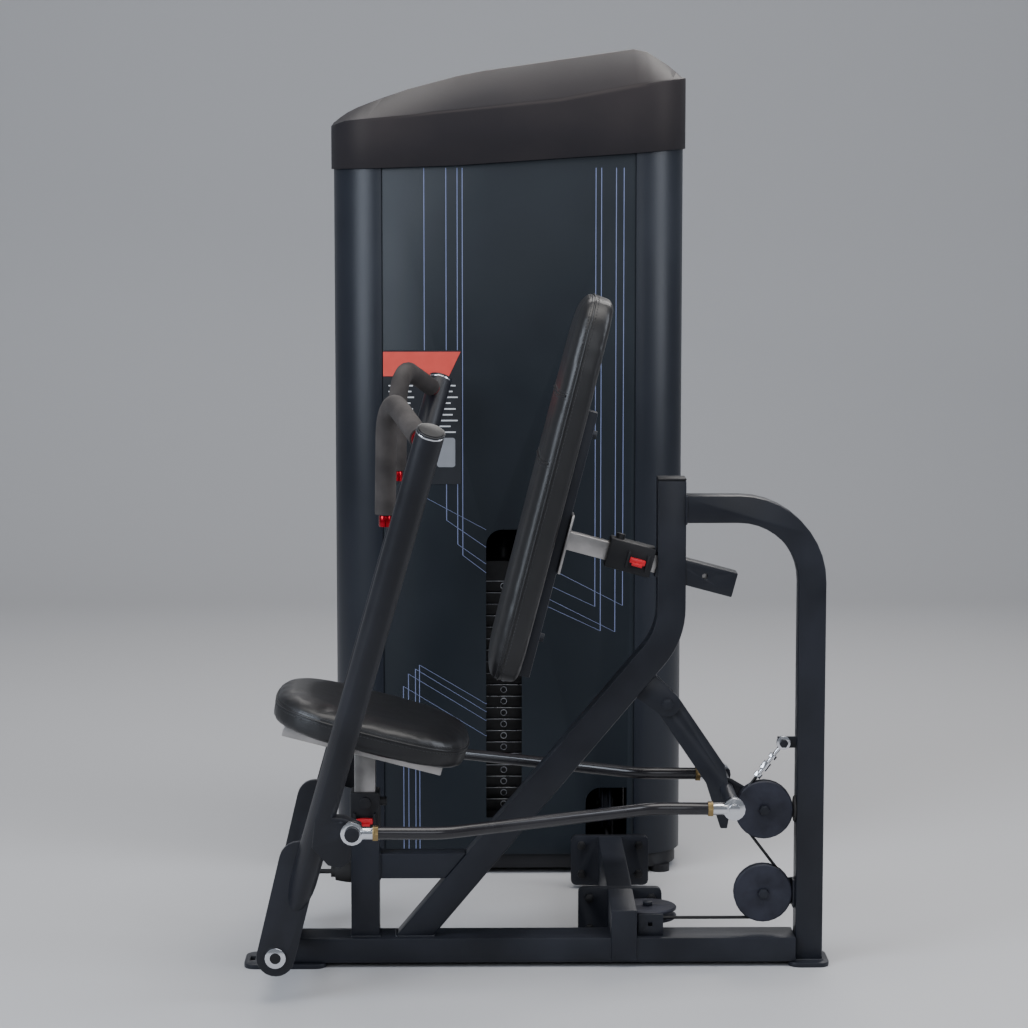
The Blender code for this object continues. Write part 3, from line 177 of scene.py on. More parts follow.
def surface(name, dark, light, rough, metallic=0.0, fine=900.0, broad=7.0, depth=0.15, dust=0.0, coat=0.0):
    """A finish whose colour, roughness and relief all vary over the piece."""
    material, tree, shader = shader_of(name)
    link = tree.links.new
    texture = tree.nodes.new("ShaderNodeGroup")
    texture.node_tree = coat_texture
    texture.inputs["Fine"].default_value = fine
    texture.inputs["Broad"].default_value = broad
    ramp = tree.nodes.new("ShaderNodeValToRGB")
    ramp.color_ramp.elements[0].position = 0.35
    ramp.color_ramp.elements[1].position = 0.65
    ramp.color_ramp.elements[0].color = (*dark, 1.0)
    ramp.color_ramp.elements[1].color = (*light, 1.0)
    link(texture.outputs["Mottle"], ramp.inputs["Fac"])
    powder = tree.nodes.new("ShaderNodeMix")
    powder.data_type = "RGBA"
    powder.inputs["B"].default_value = (0.30, 0.29, 0.28, 1.0)
    share = tree.nodes.new("ShaderNodeMath")
    share.operation = "MULTIPLY"
    share.inputs[1].default_value = dust
    link(texture.outputs["Dust"], share.inputs[0])
    link(share.outputs["Value"], powder.inputs["Factor"])
    link(ramp.outputs["Color"], powder.inputs["A"])
    link(powder.outputs["Result"], shader.inputs["Base Color"])
    gloss = tree.nodes.new("ShaderNodeMapRange")
    gloss.inputs["From Min"].default_value = 0.3
    gloss.inputs["From Max"].default_value = 0.7
    gloss.inputs["To Min"].default_value = rough[0]
    gloss.inputs["To Max"].default_value = rough[1]
    link(texture.outputs["Mottle"], gloss.inputs["Value"])
    link(gloss.outputs["Result"], shader.inputs["Roughness"])
    bump = tree.nodes.new("ShaderNodeBump")
    bump.inputs["Strength"].default_value = depth
    bump.inputs["Distance"].default_value = 0.001
    link(texture.outputs["Height"], bump.inputs["Height"])
    link(bump.outputs["Normal"], shader.inputs["Normal"])
    shader.inputs["Metallic"].default_value = metallic
    shader.inputs["Coat Weight"].default_value = coat
    shader.inputs["Coat Roughness"].default_value = 0.15
    if not metallic:
        shader.inputs["Specular IOR Level"].default_value = 0.30
    return material


body_of_node = {}
for body, members in frame["record"]["behaviour"]["bodies"].items():
    for member in members:
        body_of_node[member] = body


def eased(obj, width, segments=2):
    """Rounds the sharp edges, and shades the rest smooth."""
    only(obj)
    bevel = obj.modifiers.new("eased", "BEVEL")
    bevel.width = width
    bevel.segments = segments
    bevel.limit_method = "ANGLE"
    bevel.angle_limit = radians(50)
    bpy.ops.object.modifier_apply(modifier="eased")
    bpy.ops.object.shade_smooth_by_angle(angle=radians(38))
    return obj


def finished(node, slot, *materials, edge=0.0008):
    """The machined shape with its edges eased and its own finish."""
    made = bpy.data.objects.new(node + "_finished", frame["nodes"][node].data.copy())
    bpy.context.collection.objects.link(made)
    made.data.materials.clear()
    for material in materials:
        made.data.materials.append(material)
    only(made)
    bpy.ops.mesh.customdata_custom_splitnormals_clear()
    bpy.ops.object.mode_set(mode="EDIT")
    bpy.ops.mesh.select_all(action="SELECT")
    bpy.ops.mesh.remove_doubles(threshold=0.00002)
    bpy.ops.mesh.dissolve_limited(angle_limit=radians(1))
    bpy.ops.object.mode_set(mode="OBJECT")
    eased(made, edge)
    for polygon in made.data.polygons:
        polygon.material_index = 0
    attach(made, body_of_node[node])
    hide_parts(node)
    return made


def paint_faces(obj, index, inside):
    """Gives the faces whose middle passes the test the material in that slot."""
    for polygon in obj.data.polygons:
        if inside(polygon.center):
            polygon.material_index = index


frame_coat = surface(
    "frame_coat", (0.008, 0.009, 0.013), (0.015, 0.017, 0.024), (0.30, 0.44), depth=0.18, dust=0.02
)
black_zinc = surface("black_zinc", (0.010, 0.010, 0.011), (0.030, 0.030, 0.032), (0.25, 0.42), 0.6, 300.0)

for node in (
    "base_rail", "connector_beam", "seat_post", "seat_cross_tube", "backrest_upright", "rear_frame",
    "back_outer_tube", "link_bracket", "low_pulley_bracket", "side_pulley_bracket", "front_foot", "rear_foot",
):
    finished(node, "frame_paint", frame_coat, black_zinc)


def mark_bolts(node, directions):
    """The proud hexagon heads are black zinc, and the plate under them is coated."""
    obj = bpy.data.objects[node + "_finished"]
    for axis, low, high in directions:
        paint_faces(obj, 1, lambda centre: low < centre[axis] < high)


flange_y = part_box("connector_beam")
mark_bolts("base_rail", [(1, flange_y[0].y - 0.0180, flange_y[0].y - 0.0086)])
mark_bolts("connector_beam", [(1, flange_y[1].y - 0.0180, flange_y[1].y - 0.0082)])


def bead(name, centre, size, axis, body):
    """A weld bead: a rectangle of rounded rod laid round the foot of a tube."""
    bpy.ops.object.select_all(action="DESELECT")
    turn = {"X": (0, radians(90), 0), "Y": (radians(90), 0, 0), "Z": (0, 0, 0)}[axis]
    bpy.ops.mesh.primitive_plane_add(size=1.0, location=(0, 0, 0))
    weld = bpy.context.object
    weld.name = name
    weld.scale = (size[0], size[1], 1.0)
    bpy.ops.object.transform_apply(location=False, rotation=False, scale=True)
    weld.rotation_euler = turn
    weld.location = centre
    bpy.ops.object.transform_apply()
    bpy.ops.object.mode_set(mode="EDIT")
    bpy.ops.mesh.select_all(action="SELECT")
    bpy.ops.mesh.subdivide(number_cuts=24)
    bpy.ops.mesh.select_all(action="DESELECT")
    edit = bmesh.from_edit_mesh(weld.data)
    inner = [vert for vert in edit.verts if not vert.is_boundary]
    bmesh.ops.delete(edit, geom=inner, context="VERTS")
    bmesh.ops.delete(edit, geom=list(edit.faces), context="FACES_ONLY")
    for index, vert in enumerate(edit.verts):
        vert.co.z += 0.0005 * sin(index * 2.4)
    bmesh.update_edit_mesh(weld.data)
    bpy.ops.object.mode_set(mode="OBJECT")
    bpy.ops.object.convert(target="CURVE")
    weld.data.bevel_depth = 0.0024
    weld.data.bevel_resolution = 2
    bpy.ops.object.convert(target="MESH")
    bpy.ops.object.shade_smooth()
    weld.data.materials.append(frame_coat)
    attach(weld, body)


post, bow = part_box("seat_post"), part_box("rear_frame")
rail_top = post[0].z
middle_y = (post[0].y + post[1].y) / 2
bead("post_foot_weld", ((post[0].x + post[1].x) / 2, middle_y, rail_top), (0.0505, 0.0505), "Z", "frame")
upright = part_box("backrest_upright")
bead("diagonal_foot_weld", (upright[0].x + 0.033, middle_y, rail_top), (0.0665, 0.0505), "Z", "frame")
bead(
    "bow_foot_weld", (bow[1].x - 0.024, middle_y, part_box("rear_foot")[1].z), (0.0490, 0.0505), "Z", "frame"
)
bead("bow_top_weld", (upright[1].x, middle_y, bow[1].z - 0.024), (0.0490, 0.0505), "X", "frame")
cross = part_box("seat_cross_tube")
bead(
    "cross_tube_weld", (cross[0].x, middle_y, (cross[0].z + cross[1].z) / 2), (0.0455, 0.0425), "X", "frame"
)

# ---- Upright's cap and rubber bumper -----------------------------------------------------------
# A moulded black plug is pressed into the open top of the upright. A rubber disc on the rear bow catches
# the swing link's pulley at the end of its return.

moulded_black = surface(
    "moulded_black", (0.006, 0.006, 0.008), (0.012, 0.012, 0.014), (0.38, 0.52), fine=420.0, depth=0.1
)
black_rubber = surface(
    "black_rubber", (0.018, 0.017, 0.017), (0.040, 0.038, 0.037), (0.7, 0.9), fine=700.0, depth=0.25
)

bpy.ops.object.select_all(action="DESELECT")
plug_at = (upright[1].x - 0.025, middle_y, upright[1].z + 0.0018)
bpy.ops.mesh.primitive_cube_add(size=0.0500, location=plug_at)
plug = bpy.context.object
plug.name = "upright_plug"
bpy.ops.transform.resize(value=(1.0, 1.0, 0.08))
bpy.ops.object.transform_apply()
plug.data.materials.append(moulded_black)
eased(plug, 0.0014, 3)
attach(plug, "frame")
finished("bumper", "rubber", black_rubber)
finished("arm_stop", "black_plastic", black_rubber, edge=0.0005)

# ---- Press arms --------------------------------------------------------------------------------
# Two raking round tubes, mitred on to flat side plates that turn on one axle at the front foot. Each tube's
# top end is closed by a turned disc with a bright rim.

polished = surface(
    "polished_chrome", (0.62, 0.63, 0.66), (0.74, 0.75, 0.78), (0.07, 0.18), 1.0, 250.0, depth=0.02
)
arm_coat = surface(
    "arm_coat",
    (0.007, 0.0075, 0.010),
    (0.014, 0.015, 0.020),
    (0.30, 0.42),
    fine=700.0,
    depth=0.22,
    dust=0.02,
)
socket_black = surface("socket_black", (0.006, 0.006, 0.007), (0.020, 0.020, 0.022), (0.3, 0.5), 0.5, 300.0)


def disc(name, at, axis, radius, depth, material, body, edge=0.0008, sides=40):
    """A turned disc with eased edges, standing on a face."""
    bpy.ops.object.select_all(action="DESELECT")
    turn = Vector(axis).to_track_quat("Z", "Y").to_euler()
    centre = Vector(at) + Vector(axis).normalized() * depth / 2
    bpy.ops.mesh.primitive_cylinder_add(
        vertices=sides, radius=radius, depth=depth, location=centre, rotation=turn
    )
    made = bpy.context.object
    made.name = name
    bpy.ops.object.transform_apply()
    made.data.materials.append(material)
    eased(made, edge, 3)
    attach(made, body)
    return made


def far_end(node, direction):
    """The middle of the face at the node's far end in this direction."""
    corners = [Vector(vert.co) for vert in frame["nodes"][node].data.vertices]
    direction = Vector(direction).normalized()
    reach = max(corner.dot(direction) for corner in corners)
    last = [corner for corner in corners if corner.dot(direction) > reach - 0.0003]
    low = [min(corner[i] for corner in last) for i in range(3)]
    high = [max(corner[i] for corner in last) for i in range(3)]
    return (Vector(low) + Vector(high)) / 2


finished("arm_yoke", "frame_paint", arm_coat)
ARM_RAKE = (0.222, 0.338, 0.787)
for name, side in (("left", -1), ("right", 1)):
    rake = Vector((ARM_RAKE[0], side * ARM_RAKE[1], ARM_RAKE[2])).normalized()
    finished(name + "_arm", "frame_paint", arm_coat, black_zinc)
    crown = far_end(name + "_arm", rake)
    disc(
        name + "_arm_rim", crown - rake * 0.0060, rake, 0.0232, 0.0030, polished, "press_arms"
    )
    disc(
        name + "_arm_cap",
        crown - rake * 0.0005,
        rake,
        0.0205,
        0.0022,
        socket_black,
        "press_arms",
    )

finished("arm_axle", "chrome", polished, edge=0.0012)
axle_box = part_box("arm_axle")
axle_x, axle_z = ((axle_box[0][i] + axle_box[1][i]) / 2 for i in (0, 2))
for name, y, way in (("left", axle_box[0].y, -1), ("right", axle_box[1].y, 1)):
    disc(
        name + "_axle_bolt",
        (axle_x, y - way * 0.0030, axle_z),
        (0, way, 0),
        0.0098,
        0.0032,
        socket_black,
        "press_arms",
    )

# ---- Grips -------------------------------------------------------------------------------------
# Bent steel tube sleeved in dull taupe-black foam rubber, with a red anodised collar where it leaves the arm
# and a red plug at its lower end.

sleeve_rubber = surface(
    "sleeve_rubber",
    (0.030, 0.026, 0.025),
    (0.062, 0.055, 0.052),
    (0.72, 0.90),
    fine=620.0,
    broad=22.0,
    depth=0.45,
    dust=0.08,
)
red_anodised = surface(
    "red_anodised", (0.34, 0.004, 0.012), (0.48, 0.008, 0.020), (0.20, 0.32), 0.85, 260.0, depth=0.04
)
for name in ("left", "right"):
    finished(name + "_grip", "grip_rubber", sleeve_rubber, edge=0.0020)
    finished(name + "_collar", "red_anodised", red_anodised)
    finished(name + "_cap", "red_anodised", red_anodised, edge=0.0018)

# ---- Push rods ---------------------------------------------------------------------------------
# Cranked steel rods in glossy black enamel, with a chromed rod-end eye screwed into each end and locked by
# a brass nut. The front eye turns on the arm's pin, and the rear one on the swing link's cross shaft.

rod_gloss = surface(
    "rod_gloss",
    (0.010, 0.009, 0.011),
    (0.022, 0.021, 0.024),
    (0.16, 0.28),
    fine=200.0,
    depth=0.04,
    coat=0.4,
)
brass = surface(
    "passivated_brass", (0.24, 0.17, 0.08), (0.36, 0.26, 0.12), (0.24, 0.38), 1.0, 220.0, depth=0.05
)
for name in ("left", "right"):
    rod = finished(name + "_push_rod", "rod_enamel", rod_gloss, polished, brass)
    low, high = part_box(name + "_push_rod")
    for edge_x, way in ((low.x, 1), (high.x, -1)):
        paint_faces(rod, 1, lambda centre: 0.0 <= way * (centre.x - edge_x) < 0.0445)
        paint_faces(rod, 2, lambda centre: 0.0525 < way * (centre.x - edge_x) < 0.0635)

# ---- Swing link and pulleys --------------------------------------------------------------------
# A flame-cut plate hung from the diagonal carries the cross shaft, and a cheek on that shaft carries the
# travelling pulley. The pulleys are machined nylon on black bolts.

nylon = surface(
    "pulley_nylon",
    (0.012, 0.013, 0.021),
    (0.026, 0.028, 0.042),
    (0.42, 0.58),
    fine=380.0,
    broad=30.0,
    depth=0.12,
    dust=0.02,
)
sheath = surface(
    "cable_sheath", (0.006, 0.006, 0.007), (0.014, 0.014, 0.015), (0.22, 0.36), fine=500.0, depth=0.05
)
finished("swing_link", "frame_paint", frame_coat)
finished("float_yoke", "frame_paint", frame_coat, black_zinc)
for node in (
    "float_pulley", "low_pulley", "side_pulley", "tower_low_pulley", "top_pulley_left", "top_pulley_right"
):
    finished(node, "pulley_nylon", nylon, edge=0.0006)
finished("turnbuckle", "chrome", polished, edge=0.0004)
for node in ("cable_run", "cable_drop_span", "cable_stack_span", "cable_float_wrap", "cable_anchor_span"):
    finished(node, "cable_sheath", sheath, edge=0.0001)

# ---- Seat adjuster -----------------------------------------------------------------------------
# A bright plated tube slides in the post through a moulded collar, and a sprung red lever pulls its pin.
# A pressed plate on top of the tube takes the seat.

plated = surface(
    "bright_plated", (0.30, 0.29, 0.28), (0.46, 0.44, 0.43), (0.26, 0.42), 1.0, 240.0, 16.0, depth=0.05
)
red_moulding = surface(
    "red_moulding",
    (0.42, 0.006, 0.012),
    (0.56, 0.012, 0.022),
    (0.25, 0.36),
    fine=300.0,
    depth=0.04,
    coat=0.3,
)
for node in ("seat_plate", "seat_tube", "back_slide_tube"):
    finished(node, "nickel", plated)
for node in ("seat_sleeve", "back_sleeve"):
    finished(node, "black_plastic", moulded_black)
for node in ("seat_lever", "back_lever"):
    finished(node, "red_plastic", red_moulding)
finished("back_bar", "frame_paint", frame_coat)

# ---- Tower shroud ------------------------------------------------------------------------------
# Two folded and rolled sheet-steel sides, satin coated, stand on a moulded plinth with flat front and rear
# panels between them. The moulded cover rises in a ridge towards the rear.

shroud_coat = surface(
    "shroud_coat",
    (0.008, 0.010, 0.015),
    (0.013, 0.016, 0.023),
    (0.32, 0.40),
    fine=1200.0,
    broad=3.0,
    depth=0.10,
)
panel_coat = surface(
    "panel_coat",
    (0.005, 0.008, 0.012),
    (0.008, 0.012, 0.017),
    (0.38, 0.48),
    fine=1300.0,
    broad=3.5,
    depth=0.10,
)
cover_mould = surface(
    "cover_mould",
    (0.018, 0.017, 0.020),
    (0.028, 0.025, 0.027),
    (0.42, 0.52),
    fine=520.0,
    broad=4.0,
    depth=0.16,
)
cover_shader = cover_mould.node_tree.nodes["Principled BSDF"]
cover_shader.inputs["Specular IOR Level"].default_value = 0.12
cover_shader.inputs["Specular Tint"].default_value = (1.0, 0.86, 0.74, 1.0)
for node in ("tower_left_shell", "tower_right_shell"):
    finished(node, "shroud_paint", shroud_coat)
for node in ("front_panel", "rear_panel"):
    finished(node, "panel_paint", panel_coat)
finished("tower_cover", "cover_plastic", cover_mould, edge=0.0040)
finished("tower_base", "black_plastic", moulded_black)

# ---- Panel graphics ----------------------------------------------------------------------------
# Thin pale periwinkle lines are printed down both sides of the panel and turn at a slant towards the window.
# The instruction placard is a plain dark plate with a coral band and unlettered dashes.

panel_low, panel_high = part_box("front_panel")
PANEL_Y = panel_low.y


def ink(name, colour, rough):
    return surface(
        name, tuple(c * 0.92 for c in colour), colour, rough, fine=1500.0, broad=40.0, depth=0.03
    )


line_ink = ink("periwinkle_ink", (0.17, 0.20, 0.34), (0.40, 0.50))


def printed(name, route, width, material, proud=0.0004):
    """A flat printed line: a small upright square whose lower edge is drawn out along the route."""
    (x, z), *others = [(panel_low.x + across, up) for across, up in route]
    bpy.ops.object.select_all(action="DESELECT")
    at = (x, PANEL_Y - 0.0001, z + width / 2)
    bpy.ops.mesh.primitive_plane_add(size=width, location=at, rotation=(radians(90), 0, 0))
    line = bpy.context.object
    line.name = name
    bpy.ops.object.transform_apply()
    bpy.ops.object.mode_set(mode="EDIT")
    bpy.ops.mesh.select_mode(type="EDGE")
    bpy.ops.mesh.select_all(action="DESELECT")
    edit = bmesh.from_edit_mesh(line.data)
    for edge in edit.edges:
        edge.select_set(all(vert.co.z < z + width / 4 for vert in edge.verts))
    bmesh.update_edit_mesh(line.data)
    for next_x, next_z in others:
        step = (next_x - x, 0.0, next_z - z)
        bpy.ops.mesh.extrude_edges_move(TRANSFORM_OT_translate={"value": step})
        x, z = next_x, next_z
    bpy.ops.mesh.select_all(action="SELECT")
    bpy.ops.mesh.normals_make_consistent(inside=False)
    bpy.ops.object.mode_set(mode="OBJECT")
    wall = line.modifiers.new("ink", "SOLIDIFY")
    wall.thickness = proud
    wall.offset = 0.0
    bpy.ops.object.modifier_apply(modifier="ink")
    line.data.materials.append(material)
    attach(line, "frame")
    return line


LINE_TOP = 1.408
LINE_W = 0.0016
window_left, window_right = 0.2037, 0.2747
left_lines = [
    (0.0827, 0.762, 0.697), (0.1257, 0.716, 0.662), (0.1477, 0.668, 0.6285), (0.1577, 0.646, 0.611)
]
for index, (across, turn, end) in enumerate(left_lines):
    printed(
        f"left_line_{index}", [(across, LINE_TOP), (across, turn), (window_left, end)], LINE_W, line_ink
    )
right_lines = [
    (0.4197, 0.543, 0.611), (0.4307, 0.494, 0.567), (0.4597, 0.492, 0.585), (0.4747, 0.545, 0.648)
]
for index, (across, turn, end) in enumerate(right_lines):
    printed(
        f"right_line_{index}", [(across, LINE_TOP), (across, turn), (window_right, end)], LINE_W, line_ink
    )
low_lines = [(0.0387, 0.383, 0.282), (0.0487, 0.408, 0.313), (0.0627, 0.418, 0.331), (0.0707, 0.426, 0.347)]
for index, (across, top, end) in enumerate(low_lines):
    printed(
        f"low_line_{index}",
        [(window_left, end), (across, top), (across, panel_low.z + 0.004)],
        LINE_W,
        line_ink,
    )

placard_ink = ink("placard_black", (0.020, 0.022, 0.026), (0.32, 0.40))
band_ink = ink("coral_band", (0.62, 0.075, 0.060), (0.30, 0.40))
dash_ink = ink("dash_white", (0.62, 0.63, 0.65), (0.35, 0.45))
tile_ink = ink("tile_grey", (0.23, 0.24, 0.26), (0.35, 0.45))


def plate(name, corners, thickness, lift, material, corner_r=0.0):
    """A flat label: a plane moved to its four corners, given a thickness and rounded off."""
    bpy.ops.object.select_all(action="DESELECT")
    bpy.ops.mesh.primitive_plane_add(size=1.0, location=(0, 0, 0), rotation=(radians(90), 0, 0))
    label = bpy.context.object
    label.name = name
    bpy.ops.object.transform_apply()
    order = sorted(label.data.vertices, key=lambda vert: (vert.co.z, vert.co.x))
    for vert, (across, up) in zip(order, corners):
        vert.co = (panel_low.x + across, PANEL_Y - lift, up)
    if corner_r:
        rounder = label.modifiers.new("corners", "BEVEL")
        rounder.affect = "VERTICES"
        rounder.width = corner_r
        rounder.segments = 5
        bpy.ops.object.modifier_apply(modifier="corners")
    wall = label.modifiers.new("wall", "SOLIDIFY")
    wall.thickness = thickness
    wall.offset = 0.0
    bpy.ops.object.modifier_apply(modifier="wall")
    label.data.materials.append(material)
    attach(label, "frame")


placard = [(0.0010, 0.788), (0.1550, 0.788), (0.0010, 1.053), (0.1550, 1.053)]
plate("placard", placard, 0.0010, 0.0006, placard_ink, 0.004)
plate(
    "placard_band",
    [(0.0015, 1.002), (0.1310, 1.002), (0.0015, 1.050), (0.1540, 1.050)],
    0.0006,
    0.0013,
    band_ink,
)
plate(
    "placard_tile",
    [(0.1070, 0.822), (0.1430, 0.822), (0.1070, 0.880), (0.1430, 0.880)],
    0.0006,
    0.0013,
    tile_ink,
    0.005,
)
for row in range(9):
    up = 0.982 - 0.0115 * row
    length = (0.040, 0.034, 0.044, 0.030)[row % 4]
    plate(
        f"dash_{row}",
        [(0.104, up), (0.104 + length, up), (0.104, up + 0.0026), (0.104 + length, up + 0.0026)],
        0.0005,
        0.0013,
        dash_ink,
    )
    plate(
        f"dash_left_{row}",
        [(0.012, up), (0.040 + length / 2, up), (0.012, up + 0.0026), (0.040 + length / 2, up + 0.0026)],
        0.0005,
        0.0013,
        dash_ink,
    )

# ---- Weight stack ------------------------------------------------------------------------------
# Cast plates painted black ride on two ground guide rods; a thin bright strip along each plate's top edge is
# a painted highlight.
# Each has a drilled hole in its front for the selector pin, drawn as painted shade in a ring of painted
# highlight, and the head plate carries the cable's stem.

iron = surface(
    "stack_iron", (0.012, 0.012, 0.013), (0.032, 0.032, 0.034), (0.42, 0.60), 0.4, 500.0, 25.0, depth=0.2
)
ground_rod = surface(
    "ground_rod", (0.56, 0.57, 0.60), (0.70, 0.71, 0.74), (0.10, 0.20), 1.0, 400.0, depth=0.03
)
# Painted highlight: bright metal for the lit top edges of the plates and the lit rims of the selector holes.
painted_edge_highlight = surface(
    "painted_edge_highlight", (0.30, 0.31, 0.34), (0.55, 0.56, 0.60), (0.22, 0.40), 0.9, 600.0, 60.0, depth=0.05
)
finished("stack_lower", "plate_iron", iron, edge=0.0006)
finished("stack_lifted", "plate_iron", iron, edge=0.0006)
guides = finished("guide_frame", "frame_paint", frame_coat, ground_rod)
lower_box, lifted_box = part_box("stack_lower"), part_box("stack_lifted")
paint_faces(guides, 1, lambda centre: centre.z < lifted_box[1].z + 0.40)
finished("selector_pin", "red_anodised", red_anodised)

PITCH = 0.0235
RESTING, LIFTED = 15, 5
stack_x = (lower_box[0].x + lower_box[1].x) / 2
stack_front = lower_box[0].y
for body, first, count, taken in (
    ("frame", 0, RESTING, ()), ("lifted_weights", RESTING, LIFTED, (RESTING,))
):
    for index in range(first, first + count):
        z = lower_box[0].z + PITCH * (index + 0.5)
        if index not in taken:
            # The hole is not cut: this bright ring is a painted highlight on its rim.
            disc(
                f"pin_hole_rim_highlight_{index}",
                (stack_x, stack_front, z),
                (0, -1, 0),
                0.0066,
                0.0004,
                painted_edge_highlight,
                body,
                0.0001,
                20,
            )
            # A black disc laid on the plate's face: painted shade where the inside of the hole would be.
            disc(
                f"pin_bore_shade_{index}",
                (stack_x, stack_front - 0.0004, z),
                (0, -1, 0),
                0.0052,
                0.0003,
                socket_black,
                body,
                0.0001,
                20,
            )
        # A thin bright strip just under the plate's top edge: a painted highlight where light catches the
        # edge.
        bpy.ops.object.select_all(action="DESELECT")
        strip_at = (stack_x, stack_front - 0.0002, z + PITCH / 2 - 0.0018)
        bpy.ops.mesh.primitive_cube_add(size=1.0, location=strip_at)
        strip = bpy.context.object
        strip.name = f"painted_edge_highlight_{index}"
        strip.scale = (0.2080, 0.0006, 0.0012)
        bpy.ops.object.transform_apply()
        strip.data.materials.append(painted_edge_highlight)
        eased(strip, 0.0002, 1)
        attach(strip, body)

# ---- Seat and back pads ------------------------------------------------------------------------
# Moulded foam on a board, wrapped in fine-grained black leatherette. The boxed sides are sewn to the face
# with a double-stitched seam, and the cover is stapled under the board.


def build_leatherette():
    """Pebbled grain over soft creases, glossier where the cover is stretched."""
    material, tree, shader = shader_of("black_leatherette")
    link = tree.links.new
    place = tree.nodes.new("ShaderNodeTexCoord")
    grain = tree.nodes.new("ShaderNodeTexVoronoi")
    grain.feature = "SMOOTH_F1"
    grain.inputs["Scale"].default_value = 620.0
    link(place.outputs["Object"], grain.inputs["Vector"])
    crease = tree.nodes.new("ShaderNodeTexNoise")
    crease.inputs["Scale"].default_value = 26.0
    crease.inputs["Detail"].default_value = 7.0
    crease.inputs["Distortion"].default_value = 1.2
    link(place.outputs["Object"], crease.inputs["Vector"])
    texture = tree.nodes.new("ShaderNodeGroup")
    texture.node_tree = coat_texture
    texture.inputs["Broad"].default_value = 9.0
    ramp = tree.nodes.new("ShaderNodeValToRGB")
    ramp.color_ramp.elements[0].color = (0.0045, 0.0045, 0.0052, 1.0)
    ramp.color_ramp.elements[1].color = (0.010, 0.0098, 0.011, 1.0)
    link(texture.outputs["Mottle"], ramp.inputs["Fac"])
    link(ramp.outputs["Color"], shader.inputs["Base Color"])
    gloss = tree.nodes.new("ShaderNodeMapRange")
    gloss.inputs["To Min"].default_value = 0.33
    gloss.inputs["To Max"].default_value = 0.46
    link(crease.outputs["Fac"], gloss.inputs["Value"])
    link(gloss.outputs["Result"], shader.inputs["Roughness"])
    fine, soft = tree.nodes.new("ShaderNodeBump"), tree.nodes.new("ShaderNodeBump")
    fine.inputs["Strength"].default_value = 0.22
    fine.inputs["Distance"].default_value = 0.0004
    soft.inputs["Strength"].default_value = 0.07
    soft.inputs["Distance"].default_value = 0.0030
    link(crease.outputs["Fac"], soft.inputs["Height"])
    link(grain.outputs["Distance"], fine.inputs["Height"])
    link(soft.outputs["Normal"], fine.inputs["Normal"])
    link(fine.outputs["Normal"], shader.inputs["Normal"])
    return material


leatherette = build_leatherette()
thread = surface(
    "black_thread", (0.020, 0.020, 0.022), (0.045, 0.045, 0.048), (0.5, 0.7), fine=900.0, depth=0.2
)


def stuffed(node, body, swell, tilt):
    """Blows the pad up like foam in its cover: the face may stand out by swell, and the underside stays
    put."""
    pad = bpy.data.objects.new(node + "_cover", frame["nodes"][node].data.copy())
    bpy.context.collection.objects.link(pad)
    pad.data.materials.clear()
    face = Vector((sin(radians(tilt)), 0.0, cos(radians(tilt))))
    only(pad)
    bpy.ops.mesh.customdata_custom_splitnormals_clear()
    bpy.ops.object.mode_set(mode="EDIT")
    bpy.ops.mesh.select_all(action="SELECT")
    bpy.ops.mesh.remove_doubles(threshold=0.00002)
    bpy.ops.transform.shrink_fatten(value=0.0004)
    bpy.ops.object.mode_set(mode="OBJECT")
    pad.data.remesh_voxel_size = 0.0050
    bpy.ops.object.voxel_remesh()
    before = [vert.co.copy() for vert in pad.data.vertices]
    cloth = pad.modifiers.new("cover", "CLOTH")
    cloth.settings.quality = 5
    cloth.settings.mass = 0.3
    cloth.settings.use_pressure = True
    cloth.settings.uniform_pressure_force = 4.0
    cloth.settings.effector_weights.gravity = 0.0
    cloth.settings.tension_stiffness = 25.0
    cloth.settings.compression_stiffness = 25.0
    cloth.settings.bending_stiffness = 8.0
    cloth.point_cache.frame_start, cloth.point_cache.frame_end = 1, 20
    for moment in range(1, 21):
        bpy.context.scene.frame_set(moment)
    bpy.ops.object.modifier_apply(modifier="cover")
    for vert, start in zip(pad.data.vertices, before):
        way = vert.co - start
        most = swell if way.dot(face) > 0 else 0.0003
        if way.length > most:
            vert.co = start + way.normalized() * most
    bpy.context.scene.frame_set(1)
    smooth = pad.modifiers.new("smooth", "CORRECTIVE_SMOOTH")
    smooth.iterations = 6
    smooth.use_only_smooth = True
    bpy.ops.object.modifier_apply(modifier="smooth")
    fine = pad.modifiers.new("fine", "SUBSURF")
    fine.levels = fine.render_levels = 1
    bpy.ops.object.modifier_apply(modifier="fine")
    bpy.ops.object.shade_smooth()
    pad.data.materials.append(leatherette)
    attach(pad, body)
    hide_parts(node)
    return pad


def on_surface(pad, point, lift=0.0):
    """The nearest point of the cover, lifted off it, with its normal."""
    _, spot, normal, _ = pad.closest_point_on_mesh(point)
    return spot + normal * lift, normal


